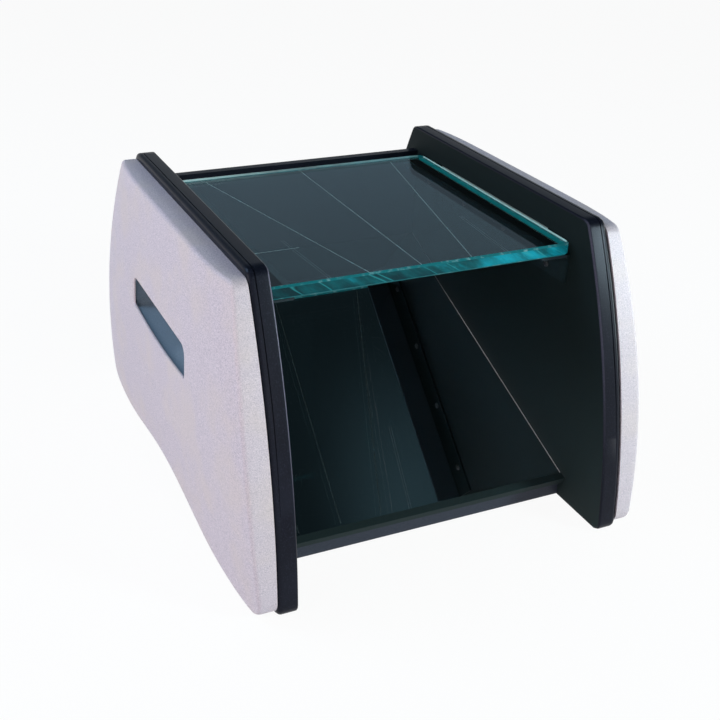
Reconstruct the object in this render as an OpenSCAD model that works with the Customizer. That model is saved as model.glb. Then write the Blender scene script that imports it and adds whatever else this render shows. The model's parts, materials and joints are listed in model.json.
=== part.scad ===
// Podoscope: a glass standing plate above an inclined mirror, carried between two
// bow-edged side frames with moulded outer covers.
// X runs across the plate, Y points away from the open front, Z points up.
// The origin lies on the floor below the middle. All sizes are in millimetres.

/* [Side frames] */
// Clear width between the two side frames
inner_width = 400; // [360:5:440]
// Thickness of a side frame board
board_t = 25; // [24:1:30]
// Height of a side frame board
board_h = 374; // [370:1:390]
// Half of a board's length at its bottom edge
half_len_bottom = 316; // [306:2:340]
// Half of a board's length at its top edge
half_len_top = 214; // [208:2:230]
// How far the front and rear edges bow out from a straight line
edge_bow = 20.3; // [14:0.1:26]
// Corner radius at the top of a board
board_top_r = 12; // [8:1:18]
// Corner radius at the bottom of a board
board_foot_r = 11; // [8:1:18]
// Rounding of the board's outer long edges, beside the cover
board_edge_r = 6; // [3:0.5:7]
// Rounding of the board's inner long edges
board_inner_r = 2.5; // [1:0.5:4]

/* [Outer covers] */
// Greatest height of a cover above its board, at its crown
cover_crown = 38; // [36:1:44]
// How much lower the cover is along its top than at its crown
cover_top_fall = 10.5; // [6:0.5:12]
// How much lower the cover is along its front and rear edges
cover_side_fall = 10.5; // [6:0.5:12]
// Height of the crown above the board's bottom
cover_crown_z = 170; // [150:5:200]
// Wall of the moulded cover
cover_wall = 3; // [2.5:0.5:4]
// Radius of the cover's outer edge
cover_edge_r = 6; // [4:0.5:8]
// Distance from the board's top down to the cover's top
cover_top_drop = 9; // [4:1:12]
// Distance from the board's bottom up to the cover's feet
cover_foot_gap = 3; // [2:0.5:5]
// Corner radius at the foot of a cover
cover_foot_r = 18; // [12:1:26]
// Corner radius at the top of a cover
cover_top_r = 14; // [10:1:20]
// Rise of the arch between the cover's two feet
arch_rise = 21; // [10:1:26]
// Half of the arch's span
arch_half = 205; // [170:5:230]
// Diameter of the screw bosses inside a cover
boss_d = 13; // [11:1:14]
// Thickness of the ribs inside a cover
rib_t = 2; // [1.5:0.5:3]

/* [Handle recess] */
// Length of the handle opening
handle_len = 220; // [160:4:224]
// Height of the handle opening at its middle
handle_h = 46; // [40:1:64]
// Distance from the board's top down to the opening's top edge
handle_drop = 134; // [128:1:149]
// How far the lower edge bows down from its two ends
handle_bow = 6; // [4:1:24]
// Corner radius at the top of the opening
handle_top_r = 13; // [8:1:16]
// Corner radius at the bottom of the opening
handle_low_r = 5; // [3:0.5:8]
// Finger room above the opening, behind the cover
finger_room = 14; // [8:1:18]
// Room between the opening's other edges and the cup's wall
cup_margin = 4; // [2:1:5]
// Wall of the handle cup
cup_wall = 2; // [1.5:0.5:3]

/* [Glass plate] */
// Thickness of the standing glass
glass_t = 16; // [14:1:19]
// Distance from the board's top down to the glass's top face
glass_drop = 34; // [30:1:38]
// Distance from the board's top front end back to the glass
glass_front_inset = 19; // [12:1:32]
// Distance from the board's top rear end forward to the glass
glass_rear_inset = 36; // [32:1:49]
// Gap between the glass and each side frame
glass_gap = 3; // [2:0.5:6]
// Bevel along the glass's edges
glass_bevel = 1.6; // [0.8:0.2:2.4]
// Corner radius of the glass in plan
glass_corner_r = 5; // [3:0.5:10]
// Width of the ledge under each end of the glass
ledge_w = 40; // [34:1:50]
// Height of the ledge's upright leg
ledge_leg = 38; // [34:1:44]
// Sheet thickness of the ledge
ledge_t = 3; // [2:0.5:4]
// Inner bend radius of the ledge
ledge_bend_r = 3; // [2:0.5:5]
// Width of the rubber strip under the glass
strip_w = 14; // [10:1:20]
// Thickness of the rubber strip under the glass
strip_t = 2; // [1:0.5:3]

/* [Mirror] */
// Slope of the mirror, rising towards the back
mirror_angle = 21; // [19:0.5:22]
// Distance from the board's front foot back to the mirror's face
mirror_inset = 75; // [70:1:78]
// Height of that front edge above the board's bottom
mirror_low = 34; // [32:1:40]
// Gap between the mirror board's top end and the rear panel
mirror_end_gap = 1.2; // [1:0.2:6]
// Thickness of the mirror glass
mirror_t = 4; // [3:0.5:5]
// Thickness of the board behind the mirror
backing_t = 6; // [4:0.5:7]
// Gap between the mirror and each side frame
mirror_gap = 1.5; // [1:0.5:3]
// Width and height of the rails that carry the mirror board
rail = 18; // [15:1:20]

/* [Panels] */
// Depth of the front bar
bar_d = 22; // [20:1:28]
// How far the mirror's front edge overhangs the front bar
bar_set = 13; // [10:1:16]
// Rounding of the front bar's lower edge
bar_r = 4; // [2:0.5:6]
// Thickness of the rear panel
panel_t = 12; // [12:1:16]
// Distance from the board's top rear end forward to the rear panel
panel_inset = 17; // [14:1:17]
// Distance from the board's bottom up to the rear panel
panel_lift = 2; // [1:1:3]
// Thickness of the base panel
base_t = 6; // [5:0.5:7]
// Distance from the board's bottom up to the base panel
base_lift = 4; // [3:0.5:5]
// Depth of the grooves that hold the base panel
groove_d = 3; // [2:0.5:4]

/* [Lamps] */
// Diameter of a lamp tube
tube_d = 16; // [15:0.5:16]
// Length of a lamp tube without its pins
tube_len = 288; // [280:1:290]
// Height of the light window in the side frame
window_h = 13; // [10:1:13]
// Depth of the lamp pocket in the side frame's outer face
pocket_depth = 15; // [13:1:17]
// Height of the lamp pocket
pocket_h = 24; // [22:1:26]
// Length of the lamp pocket past each end of the tube
pocket_end = 15; // [14:1:18]
// Sheet thickness of the reflector
reflector_t = 1; // [0.8:0.1:1.5]
// Diameter of the leads
lead_d = 5; // [4:0.5:6]

/* [Mains inlet] */
// Sideways place of the inlet in the rear panel
inlet_x = -120; // [-140:5:-110]
// Height of the inlet's middle above the board's bottom
inlet_z = 62; // [56:1:80]
// Width of the inlet's flange
flange_w = 52; // [50:1:58]
// Height of the inlet's flange
flange_h = 68; // [66:1:76]
// Thickness of the inlet's flange
flange_t = 2.5; // [2:0.5:3]
// Width of the inlet's body
inlet_w = 32; // [30:1:34]
// Height of the inlet's body
inlet_h = 60; // [58:1:62]
// Depth of the inlet's body behind the flange
inlet_d = 29; // [28:1:30]
// Travel of the fuse drawer
drawer_travel = 20; // [18:1:20]
// Tilt of the rocker to either side of its middle
rocker_tilt = 11; // [8:1:12]

/* [Fastenings] */
// Shank diameter of the frame bolts
bolt_d = 6; // [5:0.5:6]
// Length of a frame bolt below its head
bolt_len = 50; // [45:1:60]
// Shank diameter of the small screws
screw_d = 4; // [3.5:0.5:4.5]
// Diameter of a floor pad
pad_d = 16; // [12:1:16]
// Thickness of a floor pad
pad_t = 4; // [3:0.5:5]
// How far a floor pad stands out below the board
pad_proud = 1.5; // [1:0.25:2]

/* [Hidden] */
$fn = 48;

// Colours
frame_black = [0.08, 0.09, 0.12];
cover_silver = [0.78, 0.74, 0.8];
cup_grey = [0.45, 0.5, 0.48];
plate_glass = [0.45, 0.72, 0.72, 0.5];
mirror_grey = [0.55, 0.58, 0.62];
steel = [0.7, 0.7, 0.72];
rubber_black = [0.05, 0.05, 0.05];
moulding_black = [0.1, 0.1, 0.1];
lamp_white = [0.95, 0.95, 0.93];

// Clearances: fit for fixed pieces, slide_fit for sliding faces, shaft_fit around round shanks
fit = 0.3;
slide_fit = 0.25;
shaft_fit = 0.05;
past = 1;

// Places shared by several pieces
inner_x = inner_width / 2;
outer_x = inner_x + board_t;
lift = pad_proud;
glass_front = glass_front_inset - half_len_top;
glass_rear = half_len_top - glass_rear_inset;
glass_z = board_h - glass_drop;
handle_top = board_h - handle_drop;
glass_top = lift + glass_z;
glass_under = glass_top - glass_t;
glass_mid = glass_top - glass_t / 2;
glass_x = inner_x - glass_gap;
ledge_top = glass_under - strip_t;
mirror_z = lift + mirror_low;
mirror_x = inner_x - mirror_gap;
stack_t = mirror_t + backing_t;
mirror_front = mirror_inset - half_len_bottom;
panel_y = half_len_top - panel_inset;
mirror_len = (panel_y - mirror_end_gap - mirror_front - stack_t * sin(mirror_angle))
  / cos(mirror_angle);
bar_front = mirror_front + bar_set;
bar_rear = bar_front + bar_d;
panel_back = panel_y + panel_t;
base_z = lift + base_lift;
base_top = base_z + base_t;
cover_z1 = board_h - cover_top_drop;

// Fastening sizes and places; places are [y, height above the board's bottom]
head_d = 2 * screw_d;
head_h = 0.6 * screw_d;
bolt_head_d = bolt_d + 4;
bolt_head_h = 4;
bolt_head_x = outer_x - bolt_head_h - 0.5;
boss_bite = 16;
ledge_bite = 12;
rail_bite = 14;
cup_bite = 10;
cup_half = handle_len / 2 + cup_margin + cup_wall;
riser_y = cup_half + 18;
rib_y = cup_half + 21;
top_screw_y = riser_y - boss_d / 2 - 5.5;
top_screw_z = cover_z1 - 73;
cover_screw_at = [[-190, 19], [190, 19], [-top_screw_y, top_screw_z], [top_screw_y, top_screw_z]];
bolt_at = concat(
  [[(bar_front + bar_rear) / 2, 17]],
  [for (t = [0:0.5:1]) [panel_y + panel_t / 2, 40 + t * (glass_z - 90)]]);
ledge_screw_step = 100;
ledge_screw_at = [for (i = [-1.5:1:1.5]) [i * ledge_screw_step, ledge_top - lift - 0.7 * ledge_leg]];
rail_screw_step = 140;
rail_screw_s = [for (i = [-1:1]) mirror_len / 2 - 2 + i * rail_screw_step];
cup_screw_y = handle_len / 2 - 38;
cup_screw_at = [for (y = [-cup_screw_y, cup_screw_y]) [y, handle_top + finger_room / 2]];
pad_x = inner_x + (board_inner_r + board_t - board_edge_r) / 2;
pad_y = 268;

// Lamp and lead places
tube_x = outer_x - pocket_depth + tube_d / 2 + 1;
window_len = tube_len - 8;
pocket_len = tube_len + 2 * pocket_end;
holder_x = tube_x + 9;
lead_x = outer_x + 11;
lead_y = (tube_len + pocket_end) / 2;
clip_step = 90;
clip_wall = 1.6;
clip_foot = 9;
lead_z = base_top + lead_d / 2 + clip_wall + 0.1;
branch_z = glass_mid - pocket_h / 2 - clip_foot - 1;
lead_hole_d = lead_d + 3;
bend_r = 8;
ballast_x = 100;
ballast_y1 = riser_y + 8;
ballast_y0 = ballast_y1 - 40;
ballast_h = 28;
slot_y1 = ballast_y0 - 10;
slot_y0 = slot_y1 - 60;

// Bowed front and rear edge: one arc, described for the half of the board with y above 0
chord_y = half_len_bottom - half_len_top;
chord = norm([chord_y, board_h]);
edge_r = chord * chord / (8 * edge_bow) + edge_bow / 2;
edge_cy = (half_len_bottom + half_len_top) / 2 - (edge_r - edge_bow) * board_h / chord;
edge_cz = board_h / 2 - (edge_r - edge_bow) * chord_y / chord;

// Steps along the outlines
corner_steps = 4;
edge_steps = 12;
span_steps = 16;
round_steps = 3;

// Half length of a board at height z above its bottom
function half_at(z) = edge_cy + sqrt(pow(edge_r, 2) - pow(z - edge_cz, 2));

// Points of an arc
function arc(cy, cz, r, a0, a1, n) =
  [for (i = [0:n]) let (a = a0 + (a1 - a0) * i / n) [cy + r * cos(a), cz + r * sin(a)]];
function without_ends(p) = [for (i = [1:len(p) - 2]) p[i]];
function mirrored(p) = [for (i = [len(p) - 1:-1:0]) [-p[i][0], p[i][1]]];

// Half outline between heights z0 and z1 with corner radii r0 and r1, drawn d inside
function corner_y(z, r) = edge_cy + sqrt(pow(edge_r - r, 2) - pow(z - edge_cz, 2));
function corner_a(z, r) = asin((z - edge_cz) / (edge_r - r));
function half_outline(z0, z1, r0, r1, d) =
  let (c0 = z0 + r0, c1 = z1 - r1, a0 = corner_a(c0, r0), a1 = corner_a(c1, r1))
  concat(
    arc(corner_y(c0, r0), c0, r0 - d, -90, a0, corner_steps),
    without_ends(arc(edge_cy, edge_cz, edge_r - d, a0, a1, edge_steps)),
    arc(corner_y(c1, r1), c1, r1 - d, a1, 90, corner_steps));

// Outline of a board as one loop
function board_loop(d) =
  let (h = half_outline(0, board_h, board_foot_r, board_top_r, d)) concat(h, mirrored(h));

// Outline of a cover as one loop. It starts at the middle of the rear foot corner, climbs
// the rear edge, passes the top and the front edge, and comes back along the arched bottom.
function arch_z(y) = cover_foot_gap
  + (abs(y) < arch_half ? arch_rise * pow(cos(90 * y / arch_half), 2) : 0);
function span_y(i, y0) =
  let (t = 2 * i / span_steps - 1) y0 * (t + sin(90 * t)) / 2;
function cover_loop(d) =
  let (
    h = half_outline(cover_foot_gap, cover_z1, cover_foot_r, cover_top_r, d),
    c = corner_steps / 2,
    n = len(h),
    top_y = h[n - 1][0],
    low_y = h[0][0])
  concat(
    [for (i = [c:n - 1]) h[i]],
    [for (i = [span_steps - 1:-1:1]) [span_y(i, top_y), cover_z1 - d]],
    mirrored(h),
    [for (i = [1:span_steps - 1]) let (y = span_y(i, low_y)) [y, arch_z(y) + d]],
    [for (i = [0:c - 1]) h[i]]);

// Height of the cover's outer face above its board: a crown that falls away to every edge
function crown(y, z) = cover_crown
  - cover_side_fall * pow(abs(y) / half_at(z), 6)
  - cover_top_fall * pow((z - cover_crown_z) / (cover_z1 - cover_crown_z), 2);

// The face inside a loop, as a grid blended from the loop's four sides
rows = edge_steps + corner_steps;
cols = span_steps + corner_steps;
loop_n = 2 * (rows + cols);
function low_pt(l, i) = l[(2 * rows + cols + i) % loop_n];
function top_pt(l, i) = l[rows + cols - i];
function front_pt(l, j) = l[2 * rows + cols - j];
function rear_pt(l, j) = l[j];
function face_pt(l, u, v, i, j) =
  (1 - v) * low_pt(l, i) + v * top_pt(l, i) + (1 - u) * front_pt(l, j) + u * rear_pt(l, j)
  - (1 - v) * ((1 - u) * low_pt(l, 0) + u * low_pt(l, cols))
  - v * ((1 - u) * top_pt(l, 0) + u * top_pt(l, cols));
function face_grid(l, sink) =
  [for (j = [0:rows], i = [0:cols])
    let (p = face_pt(l, i / cols, j / rows, i, j)) [crown(p[0], p[1]) - sink, p[0], p[1]]];
function grid_rim(q) =
  q <= rows ? (q + 1) * (cols + 1) - 1
  : q <= rows + cols ? rows * (cols + 1) + cols - (q - rows)
  : q <= 2 * rows + cols ? (2 * rows + cols - q) * (cols + 1)
  : q - 2 * rows - cols;

// Triangles between two loops of n points that start at points a and b
function band(a, b, n) =
  [for (i = [0:n - 1]) let (j = (i + 1) % n)
    each [[a + i, b + i, b + j], [a + i, b + j, a + j]]];
// Triangles between a loop that starts at point a and the rim of a grid at point g
function rim_band(a, g) =
  [for (i = [0:loop_n - 1]) let (j = (i + 1) % loop_n, r = g + grid_rim(i), s = g + grid_rim(j))
    each [[a + i, r, s], [a + i, s, a + j]]];
function grid_faces(g) =
  [for (j = [0:rows - 1], i = [0:cols - 1]) let (a = g + j * (cols + 1) + i, c = a + cols + 2)
    each [[a, c, a + 1], [a, c - 1, c]]];
function turned(f) = [for (t = f) [t[0], t[2], t[1]]];

// Loop points with their height above the board's face
function at_height(l, x) = [for (p = l) [x, p[0], p[1]]];
function below_face(l, edge, sink) =
  [for (i = [0:len(l) - 1]) [crown(edge[i][0], edge[i][1]) - sink, l[i][0], l[i][1]]];

// Puts its children on the right, or mirrored on the left
module on_side(side) {
  mirror([side == "left" ? 1 : 0, 0, 0])
    children();
}

module on_both_sides() {
  for (side = ["left", "right"])
    on_side(side)
      children();
}

// Puts its children in the mirror's frame: Y runs up the slope, Z stands on the face
module on_mirror() {
  translate([0, mirror_front, mirror_z])
    rotate([mirror_angle, 0, 0])
      children();
}

// Prism along X of a shape drawn in Y and Z
module along_x(x0, x1) {
  translate([x0, 0, 0])
    rotate([90, 0, 90])
      linear_extrude(x1 - x0)
        children();
}

// Prism along Y of a shape drawn in X and Z
module along_y(y0, y1) {
  translate([0, y1, 0])
    rotate([90, 0, 0])
      linear_extrude(y1 - y0)
        children();
}

// Rod along X
module rod_x(x0, x1, y, z, d) {
  along_x(x0, x1)
    translate([y, z])
      circle(d = d);
}

// Rectangle with round corners
module round_rect(x0, x1, y0, y1, r) {
  translate([x0 + r, y0])
    square([x1 - x0 - 2 * r, y1 - y0]);
  translate([x0, y0 + r])
    square([x1 - x0, y1 - y0 - 2 * r]);
  for (x = [x0 + r, x1 - r], y = [y0 + r, y1 - r])
    translate([x, y])
      circle(r = r);
}

// Plate with all its edges bevelled by c
module bevelled(x0, x1, y0, y1, z0, z1, c) {
  function section(a, b) = [
    [a + c, z0], [b - c, z0], [b, z0 + c], [b, z1 - c],
    [b - c, z1], [a + c, z1], [a, z1 - c], [a, z0 + c]];
  intersection() {
    along_y(y0, y1)
      polygon(section(x0, x1));
    along_x(x0, x1)
      polygon(section(y0, y1));
  }
}

// Screw with its tip along Z, its head's underside at 0 and a cross recess
module pan_screw(d, length, hd, hh) {
  slot = 0.18 * hd;
  difference() {
    union() {
      translate([0, 0, -0.6 * hh])
        cylinder(d = hd, h = 0.6 * hh);
      translate([0, 0, -hh])
        cylinder(d1 = 0.7 * hd, d2 = hd, h = 0.4 * hh);
      cylinder(d = d, h = length - d);
      translate([0, 0, length - d])
        cylinder(d1 = d, d2 = 0.4 * d, h = d);
    }
    for (a = [0, 90])
      rotate([0, 0, a])
        translate([-0.28 * hd, -slot / 2, -hh - past])
          cube([0.56 * hd, slot, past + 0.5 * hh]);
  }
}

// Screw along X that starts at x0 and points outwards when dir is 1, inwards when it is -1
module screw_x(x0, dir, length, at) {
  translate([x0, at[0], lift + at[1]])
    rotate([0, 90 * dir, 0])
      pan_screw(screw_d, length, head_d, head_h);
}

// Lead along a list of points, with round bends; each leg follows one axis
module lead_run(pts) {
  last = len(pts) - 1;
  for (i = [0:last - 1]) {
    leg = pts[i + 1] - pts[i];
    dir = leg / norm(leg);
    start = i == 0 ? 0 : bend_r;
    trim = i == last - 1 ? 0 : bend_r;
    translate(pts[i] + start * dir)
      rotate([0, acos(dir[2]), atan2(dir[1], dir[0])])
        cylinder(d = lead_d, h = norm(leg) - start - trim);
  }
  for (i = [1:last - 1]) {
    from = (pts[i] - pts[i - 1]) / norm(pts[i] - pts[i - 1]);
    to = (pts[i + 1] - pts[i]) / norm(pts[i + 1] - pts[i]);
    side = cross(from, to);
    c = pts[i] + bend_r * (to - from);
    multmatrix([
      [-to[0], from[0], side[0], c[0]],
      [-to[1], from[1], side[1], c[1]],
      [-to[2], from[2], side[2], c[2]],
      [0, 0, 0, 1]])
      rotate_extrude(angle = 90)
        translate([bend_r, 0])
          circle(d = lead_d);
  }
}

// Rings of one rounded long edge, from the board's face outwards
function edge_depth(r, k) = r * (1 - cos(90 * k / round_steps));
function edge_loop(r, k) = board_loop(r * (1 - sin(90 * k / round_steps)));

// Board lofted through inset loops, so that its long edges are rounded
module board_solid() {
  steps = [0:round_steps];
  back_steps = [round_steps:-1:0];
  rings = concat(
    [for (k = steps) at_height(edge_loop(board_inner_r, k), edge_depth(board_inner_r, k))],
    [for (k = back_steps)
      at_height(edge_loop(board_edge_r, k), board_t - edge_depth(board_edge_r, k))]);
  n = len(rings[0]);
  last = (len(rings) - 1) * n;
  polyhedron(
    points = [for (r = rings) each r],
    faces = concat(
      [[for (i = [0:n - 1]) i]],
      [for (k = [0:len(rings) - 2]) each band(k * n, (k + 1) * n, n)],
      [[for (i = [n - 1:-1:0]) last + i]]));
}

// Side frame: bow-edged board with its light window, lamp pocket, groove and bores
module side_frame() {
  color(frame_black)
    difference() {
      translate([inner_x, 0, lift])
        board_solid();
      translate([inner_x - past, -window_len / 2, glass_mid - window_h / 2])
        cube([board_t, window_len, window_h]);
      translate([outer_x - pocket_depth, -pocket_len / 2, glass_mid - pocket_h / 2])
        cube([board_t, pocket_len, pocket_h]);
      translate([inner_x - past, bar_rear, base_z - shaft_fit])
        cube([groove_d + past, panel_y - bar_rear, base_t + 2 * shaft_fit]);
      for (p = bolt_at) {
        rod_x(inner_x - past, outer_x + past, p[0], lift + p[1], bolt_d + fit);
        rod_x(bolt_head_x, outer_x + past, p[0], lift + p[1], bolt_head_d + fit);
      }
      for (p = cover_screw_at) {
        rod_x(inner_x - past, outer_x + past, p[0], lift + p[1], screw_d + fit);
        rod_x(inner_x - past, inner_x + head_h, p[0], lift + p[1], head_d + fit);
      }
      for (p = ledge_screw_at)
        rod_x(inner_x - past, inner_x + ledge_bite, p[0], lift + p[1], screw_d + 2 * shaft_fit);
      for (p = cup_screw_at)
        rod_x(outer_x - cup_bite, outer_x + past, p[0], lift + p[1], screw_d + 2 * shaft_fit);
      on_mirror()
        for (s = rail_screw_s)
          rod_x(inner_x - past, inner_x + rail_bite, s, -stack_t - rail / 2, screw_d + 2 * shaft_fit);
      rod_x(inner_x - past, outer_x + past, riser_y, lead_z, lead_hole_d);
      for (y = [-pad_y, pad_y])
        translate([pad_x, y, -past])
          cylinder(d = pad_d + 2 * shaft_fit, h = pad_t + past);
    }
}

module left_side_frame() {
  on_side("left")
    side_frame();
}

module right_side_frame() {
  on_side("right")
    side_frame();
}

// Moulded shell: rim on the board, rounded edge, crowned face, and the same inside
module cover_shell() {
  rim = cover_loop(0);
  edge = cover_loop(cover_edge_r);
  inner_rim = cover_loop(cover_wall);
  function outer_ring(k) = let (a = 90 * k / round_steps)
    below_face(cover_loop(cover_edge_r * (1 - cos(a))), edge, cover_edge_r * (1 - sin(a)));
  grid_n = (rows + 1) * (cols + 1);
  outer_grid = (round_steps + 1) * loop_n;
  inner_start = outer_grid + grid_n;
  polyhedron(
    points = concat(
      at_height(rim, 0),
      [for (k = [0:round_steps - 1]) each outer_ring(k)],
      face_grid(edge, 0),
      at_height(inner_rim, 0),
      below_face(inner_rim, edge, cover_edge_r),
      face_grid(edge, cover_wall)),
    faces = concat(
      [for (k = [0:round_steps - 1]) each band(k * loop_n, (k + 1) * loop_n, loop_n)],
      rim_band(round_steps * loop_n, outer_grid),
      grid_faces(outer_grid),
      turned(band(0, inner_start, loop_n)),
      turned(band(inner_start, inner_start + loop_n, loop_n)),
      turned(rim_band(inner_start + loop_n, inner_start + 2 * loop_n)),
      turned(grid_faces(inner_start + 2 * loop_n))));
}

// Rib inside a cover at one y, following the crown
module cover_rib(y) {
  heights = [for (i = [0:6]) 60 + 32 * i];
  along_y(y - rib_t / 2, y + rib_t / 2)
    translate([outer_x, lift])
      polygon(concat(
        [for (z = heights) [crown(y, z) - cover_wall / 2, z]],
        [[22, heights[6]], [22, heights[0]]]));
}

// Handle outline: flat top, round corners and a bottom that bows down. It is drawn g
// larger at the sides and below, and up larger above.
module handle_shape(g, up) {
  half = handle_len / 2 + g;
  top = handle_top + up;
  top_r = handle_top_r + g;
  low_r = handle_low_r + g;
  bow_r = pow(handle_len / 2, 2) / (2 * handle_bow) + handle_bow / 2 + g;
  bow_z = handle_top - handle_h - g + bow_r;
  low_z = bow_z - sqrt(pow(bow_r - low_r, 2) - pow(half - low_r, 2));
  touch_y = (half - low_r) * bow_r / (bow_r - low_r);
  intersection() {
    translate([0, bow_z])
      circle(r = bow_r, $fn = 180);
    translate([-touch_y, bow_z - bow_r])
      square([2 * touch_y, low_z + past - bow_z + bow_r]);
  }
  for (y = [-1, 1])
    translate([y * (half - low_r), low_z])
      circle(r = low_r);
  translate([-half, low_z])
    square([2 * half, top - top_r - low_z]);
  translate([top_r - half, low_z])
    square([2 * (half - top_r), top - low_z]);
  for (y = [-1, 1])
    translate([y * (half - top_r), top - top_r])
      circle(r = top_r);
}

module cover() {
  color(cover_silver)
    difference() {
      union() {
        translate([outer_x, 0, lift])
          cover_shell();
        for (p = cover_screw_at)
          rod_x(outer_x, outer_x + crown(p[0], p[1]) - cover_wall / 2, p[0], lift + p[1], boss_d);
        for (y = [-rib_y, rib_y])
          cover_rib(y);
      }
      along_x(outer_x + cover_crown / 2, outer_x + cover_crown + past)
        translate([0, lift])
          handle_shape(0, 0);
      for (p = cover_screw_at)
        rod_x(outer_x - past, outer_x + boss_bite, p[0], lift + p[1], screw_d + 2 * shaft_fit);
    }
}

module left_cover() {
  on_side("left")
    cover();
}

module right_cover() {
  on_side("right")
    cover();
}

// Cup behind the handle opening, open towards the cover
module handle_cup() {
  depth = crown(handle_len / 2 + cup_margin + cup_wall, handle_top + finger_room + cup_wall)
    - cover_wall - fit;
  color(cup_grey)
    difference() {
      along_x(outer_x, outer_x + depth)
        translate([0, lift])
          handle_shape(cup_margin + cup_wall, finger_room + cup_wall);
      along_x(outer_x + cup_wall, outer_x + depth + past)
        translate([0, lift])
          handle_shape(cup_margin, finger_room);
      for (p = cup_screw_at)
        rod_x(outer_x - past, outer_x + cup_wall + past, p[0], lift + p[1], screw_d + fit);
    }
}

module left_handle_cup() {
  on_side("left")
    handle_cup();
}

module right_handle_cup() {
  on_side("right")
    handle_cup();
}

// Standing glass with bevelled edges and rounded corners
module glass_plate() {
  color(plate_glass)
    intersection() {
      bevelled(-glass_x, glass_x, glass_front, glass_rear, glass_under, glass_top, glass_bevel);
      translate([0, 0, glass_under])
        linear_extrude(glass_t)
          round_rect(-glass_x, glass_x, glass_front, glass_rear, glass_corner_r);
    }
}

// Angle under one end of the glass
module glass_ledge() {
  color(frame_black)
    difference() {
      along_y(glass_front + 5, glass_rear - 5) {
        translate([inner_x - ledge_w, ledge_top - ledge_t])
          square([ledge_w, ledge_t]);
        translate([inner_x - ledge_t, ledge_top - ledge_leg])
          square([ledge_t, ledge_leg]);
        difference() {
          translate([inner_x - ledge_t - ledge_bend_r, ledge_top - ledge_t - ledge_bend_r])
            square(ledge_bend_r);
          translate([inner_x - ledge_t - ledge_bend_r, ledge_top - ledge_t - ledge_bend_r])
            circle(r = ledge_bend_r);
        }
      }
      for (p = ledge_screw_at)
        rod_x(inner_x - ledge_w, inner_x + past, p[0], lift + p[1], screw_d + fit);
    }
}

module left_glass_ledge() {
  on_side("left")
    glass_ledge();
}

module right_glass_ledge() {
  on_side("right")
    glass_ledge();
}

module glass_strip() {
  color(rubber_black)
    translate([inner_x - ledge_w + 10, glass_front + 8, ledge_top])
      cube([strip_w, glass_rear - glass_front - 16, strip_t]);
}

module left_glass_strip() {
  on_side("left")
    glass_strip();
}

module right_glass_strip() {
  on_side("right")
    glass_strip();
}

module mirror_glass() {
  color(mirror_grey)
    on_mirror()
      bevelled(-mirror_x, mirror_x, 0, mirror_len, -mirror_t, 0, 0.8);
}

module mirror_board() {
  color(frame_black)
    on_mirror()
      translate([-mirror_x, 0, -stack_t])
        cube([2 * mirror_x, mirror_len, backing_t]);
}

// Rail on one side frame, under the mirror board
module mirror_rail() {
  color(frame_black)
    on_mirror()
      difference() {
        translate([inner_x - rail, 45, -stack_t - rail])
          cube([rail, mirror_len - 64, rail]);
        for (s = rail_screw_s)
          rod_x(inner_x - rail - past, inner_x + past, s, -stack_t - rail / 2, screw_d + fit);
      }
}

module left_mirror_rail() {
  on_side("left")
    mirror_rail();
}

module right_mirror_rail() {
  on_side("right")
    mirror_rail();
}

// Front bar under the mirror's front edge, with its top cut to the mirror's slope
module front_bar() {
  function under(y) = mirror_z - stack_t * cos(mirror_angle)
    + (y - mirror_front - stack_t * sin(mirror_angle)) * tan(mirror_angle);
  color(frame_black)
    difference() {
      along_x(-inner_x, inner_x) {
        polygon([
          [bar_front + bar_r, lift], [bar_rear, lift], [bar_rear, under(bar_rear)],
          [bar_front, under(bar_front)], [bar_front, lift + bar_r]]);
        translate([bar_front + bar_r, lift + bar_r])
          circle(r = bar_r);
      }
      on_both_sides()
        rod_x(bolt_head_x - bolt_len - past, inner_x + past, bolt_at[0][0], lift + bolt_at[0][1],
          bolt_d + 2 * shaft_fit);
    }
}

module rear_panel() {
  color(frame_black)
    difference() {
      translate([-inner_x, panel_y, lift + panel_lift])
        cube([inner_width, panel_t, glass_top - lift - panel_lift]);
      on_both_sides()
        for (i = [1:3])
          rod_x(bolt_head_x - bolt_len - past, inner_x + past, bolt_at[i][0], lift + bolt_at[i][1],
            bolt_d + 2 * shaft_fit);
      at_inlet() {
        along_y(-panel_t - past, past)
          square([inlet_w + 2 * fit, inlet_h + 2 * fit], center = true);
        inlet_screw_bores();
      }
    }
}

// Base panel in the grooves of both side frames, with air slots in front of the ballast
module base_panel() {
  half = inner_x + groove_d - fit;
  color(frame_black)
    difference() {
      translate([-half, bar_rear, base_z])
        cube([2 * half, panel_y - bar_rear, base_t]);
      for (x = [-75:25:75])
        translate([0, 0, base_z - past])
          linear_extrude(base_t + 2 * past)
            round_rect(x - 3, x + 3, slot_y0, slot_y1, 2.9);
      for (x = [-1, 1])
        translate([x * ballast_screw_x, ballast_tab_y, base_z - past])
          cylinder(d = screw_d + 2 * shaft_fit, h = base_t + 2 * past);
    }
}

// Lamp tube with its two metal caps and four pins
pin_d = 2.4;
pin_len = 7;
pin_z = 2.5;
module lamp_tube() {
  color(lamp_white) {
    along_y(-tube_len / 2, tube_len / 2)
      translate([tube_x, glass_mid])
        circle(d = tube_d - 0.6);
    for (y = [-tube_len / 2, tube_len / 2 - 9])
      along_y(y, y + 9)
        translate([tube_x, glass_mid])
          circle(d = tube_d);
    for (z = [-pin_z, pin_z])
      along_y(-tube_len / 2 - pin_len, tube_len / 2 + pin_len)
        translate([tube_x, glass_mid + z])
          circle(d = pin_d);
  }
}

module left_lamp_tube() {
  on_side("left")
    lamp_tube();
}

module right_lamp_tube() {
  on_side("right")
    lamp_tube();
}

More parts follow.
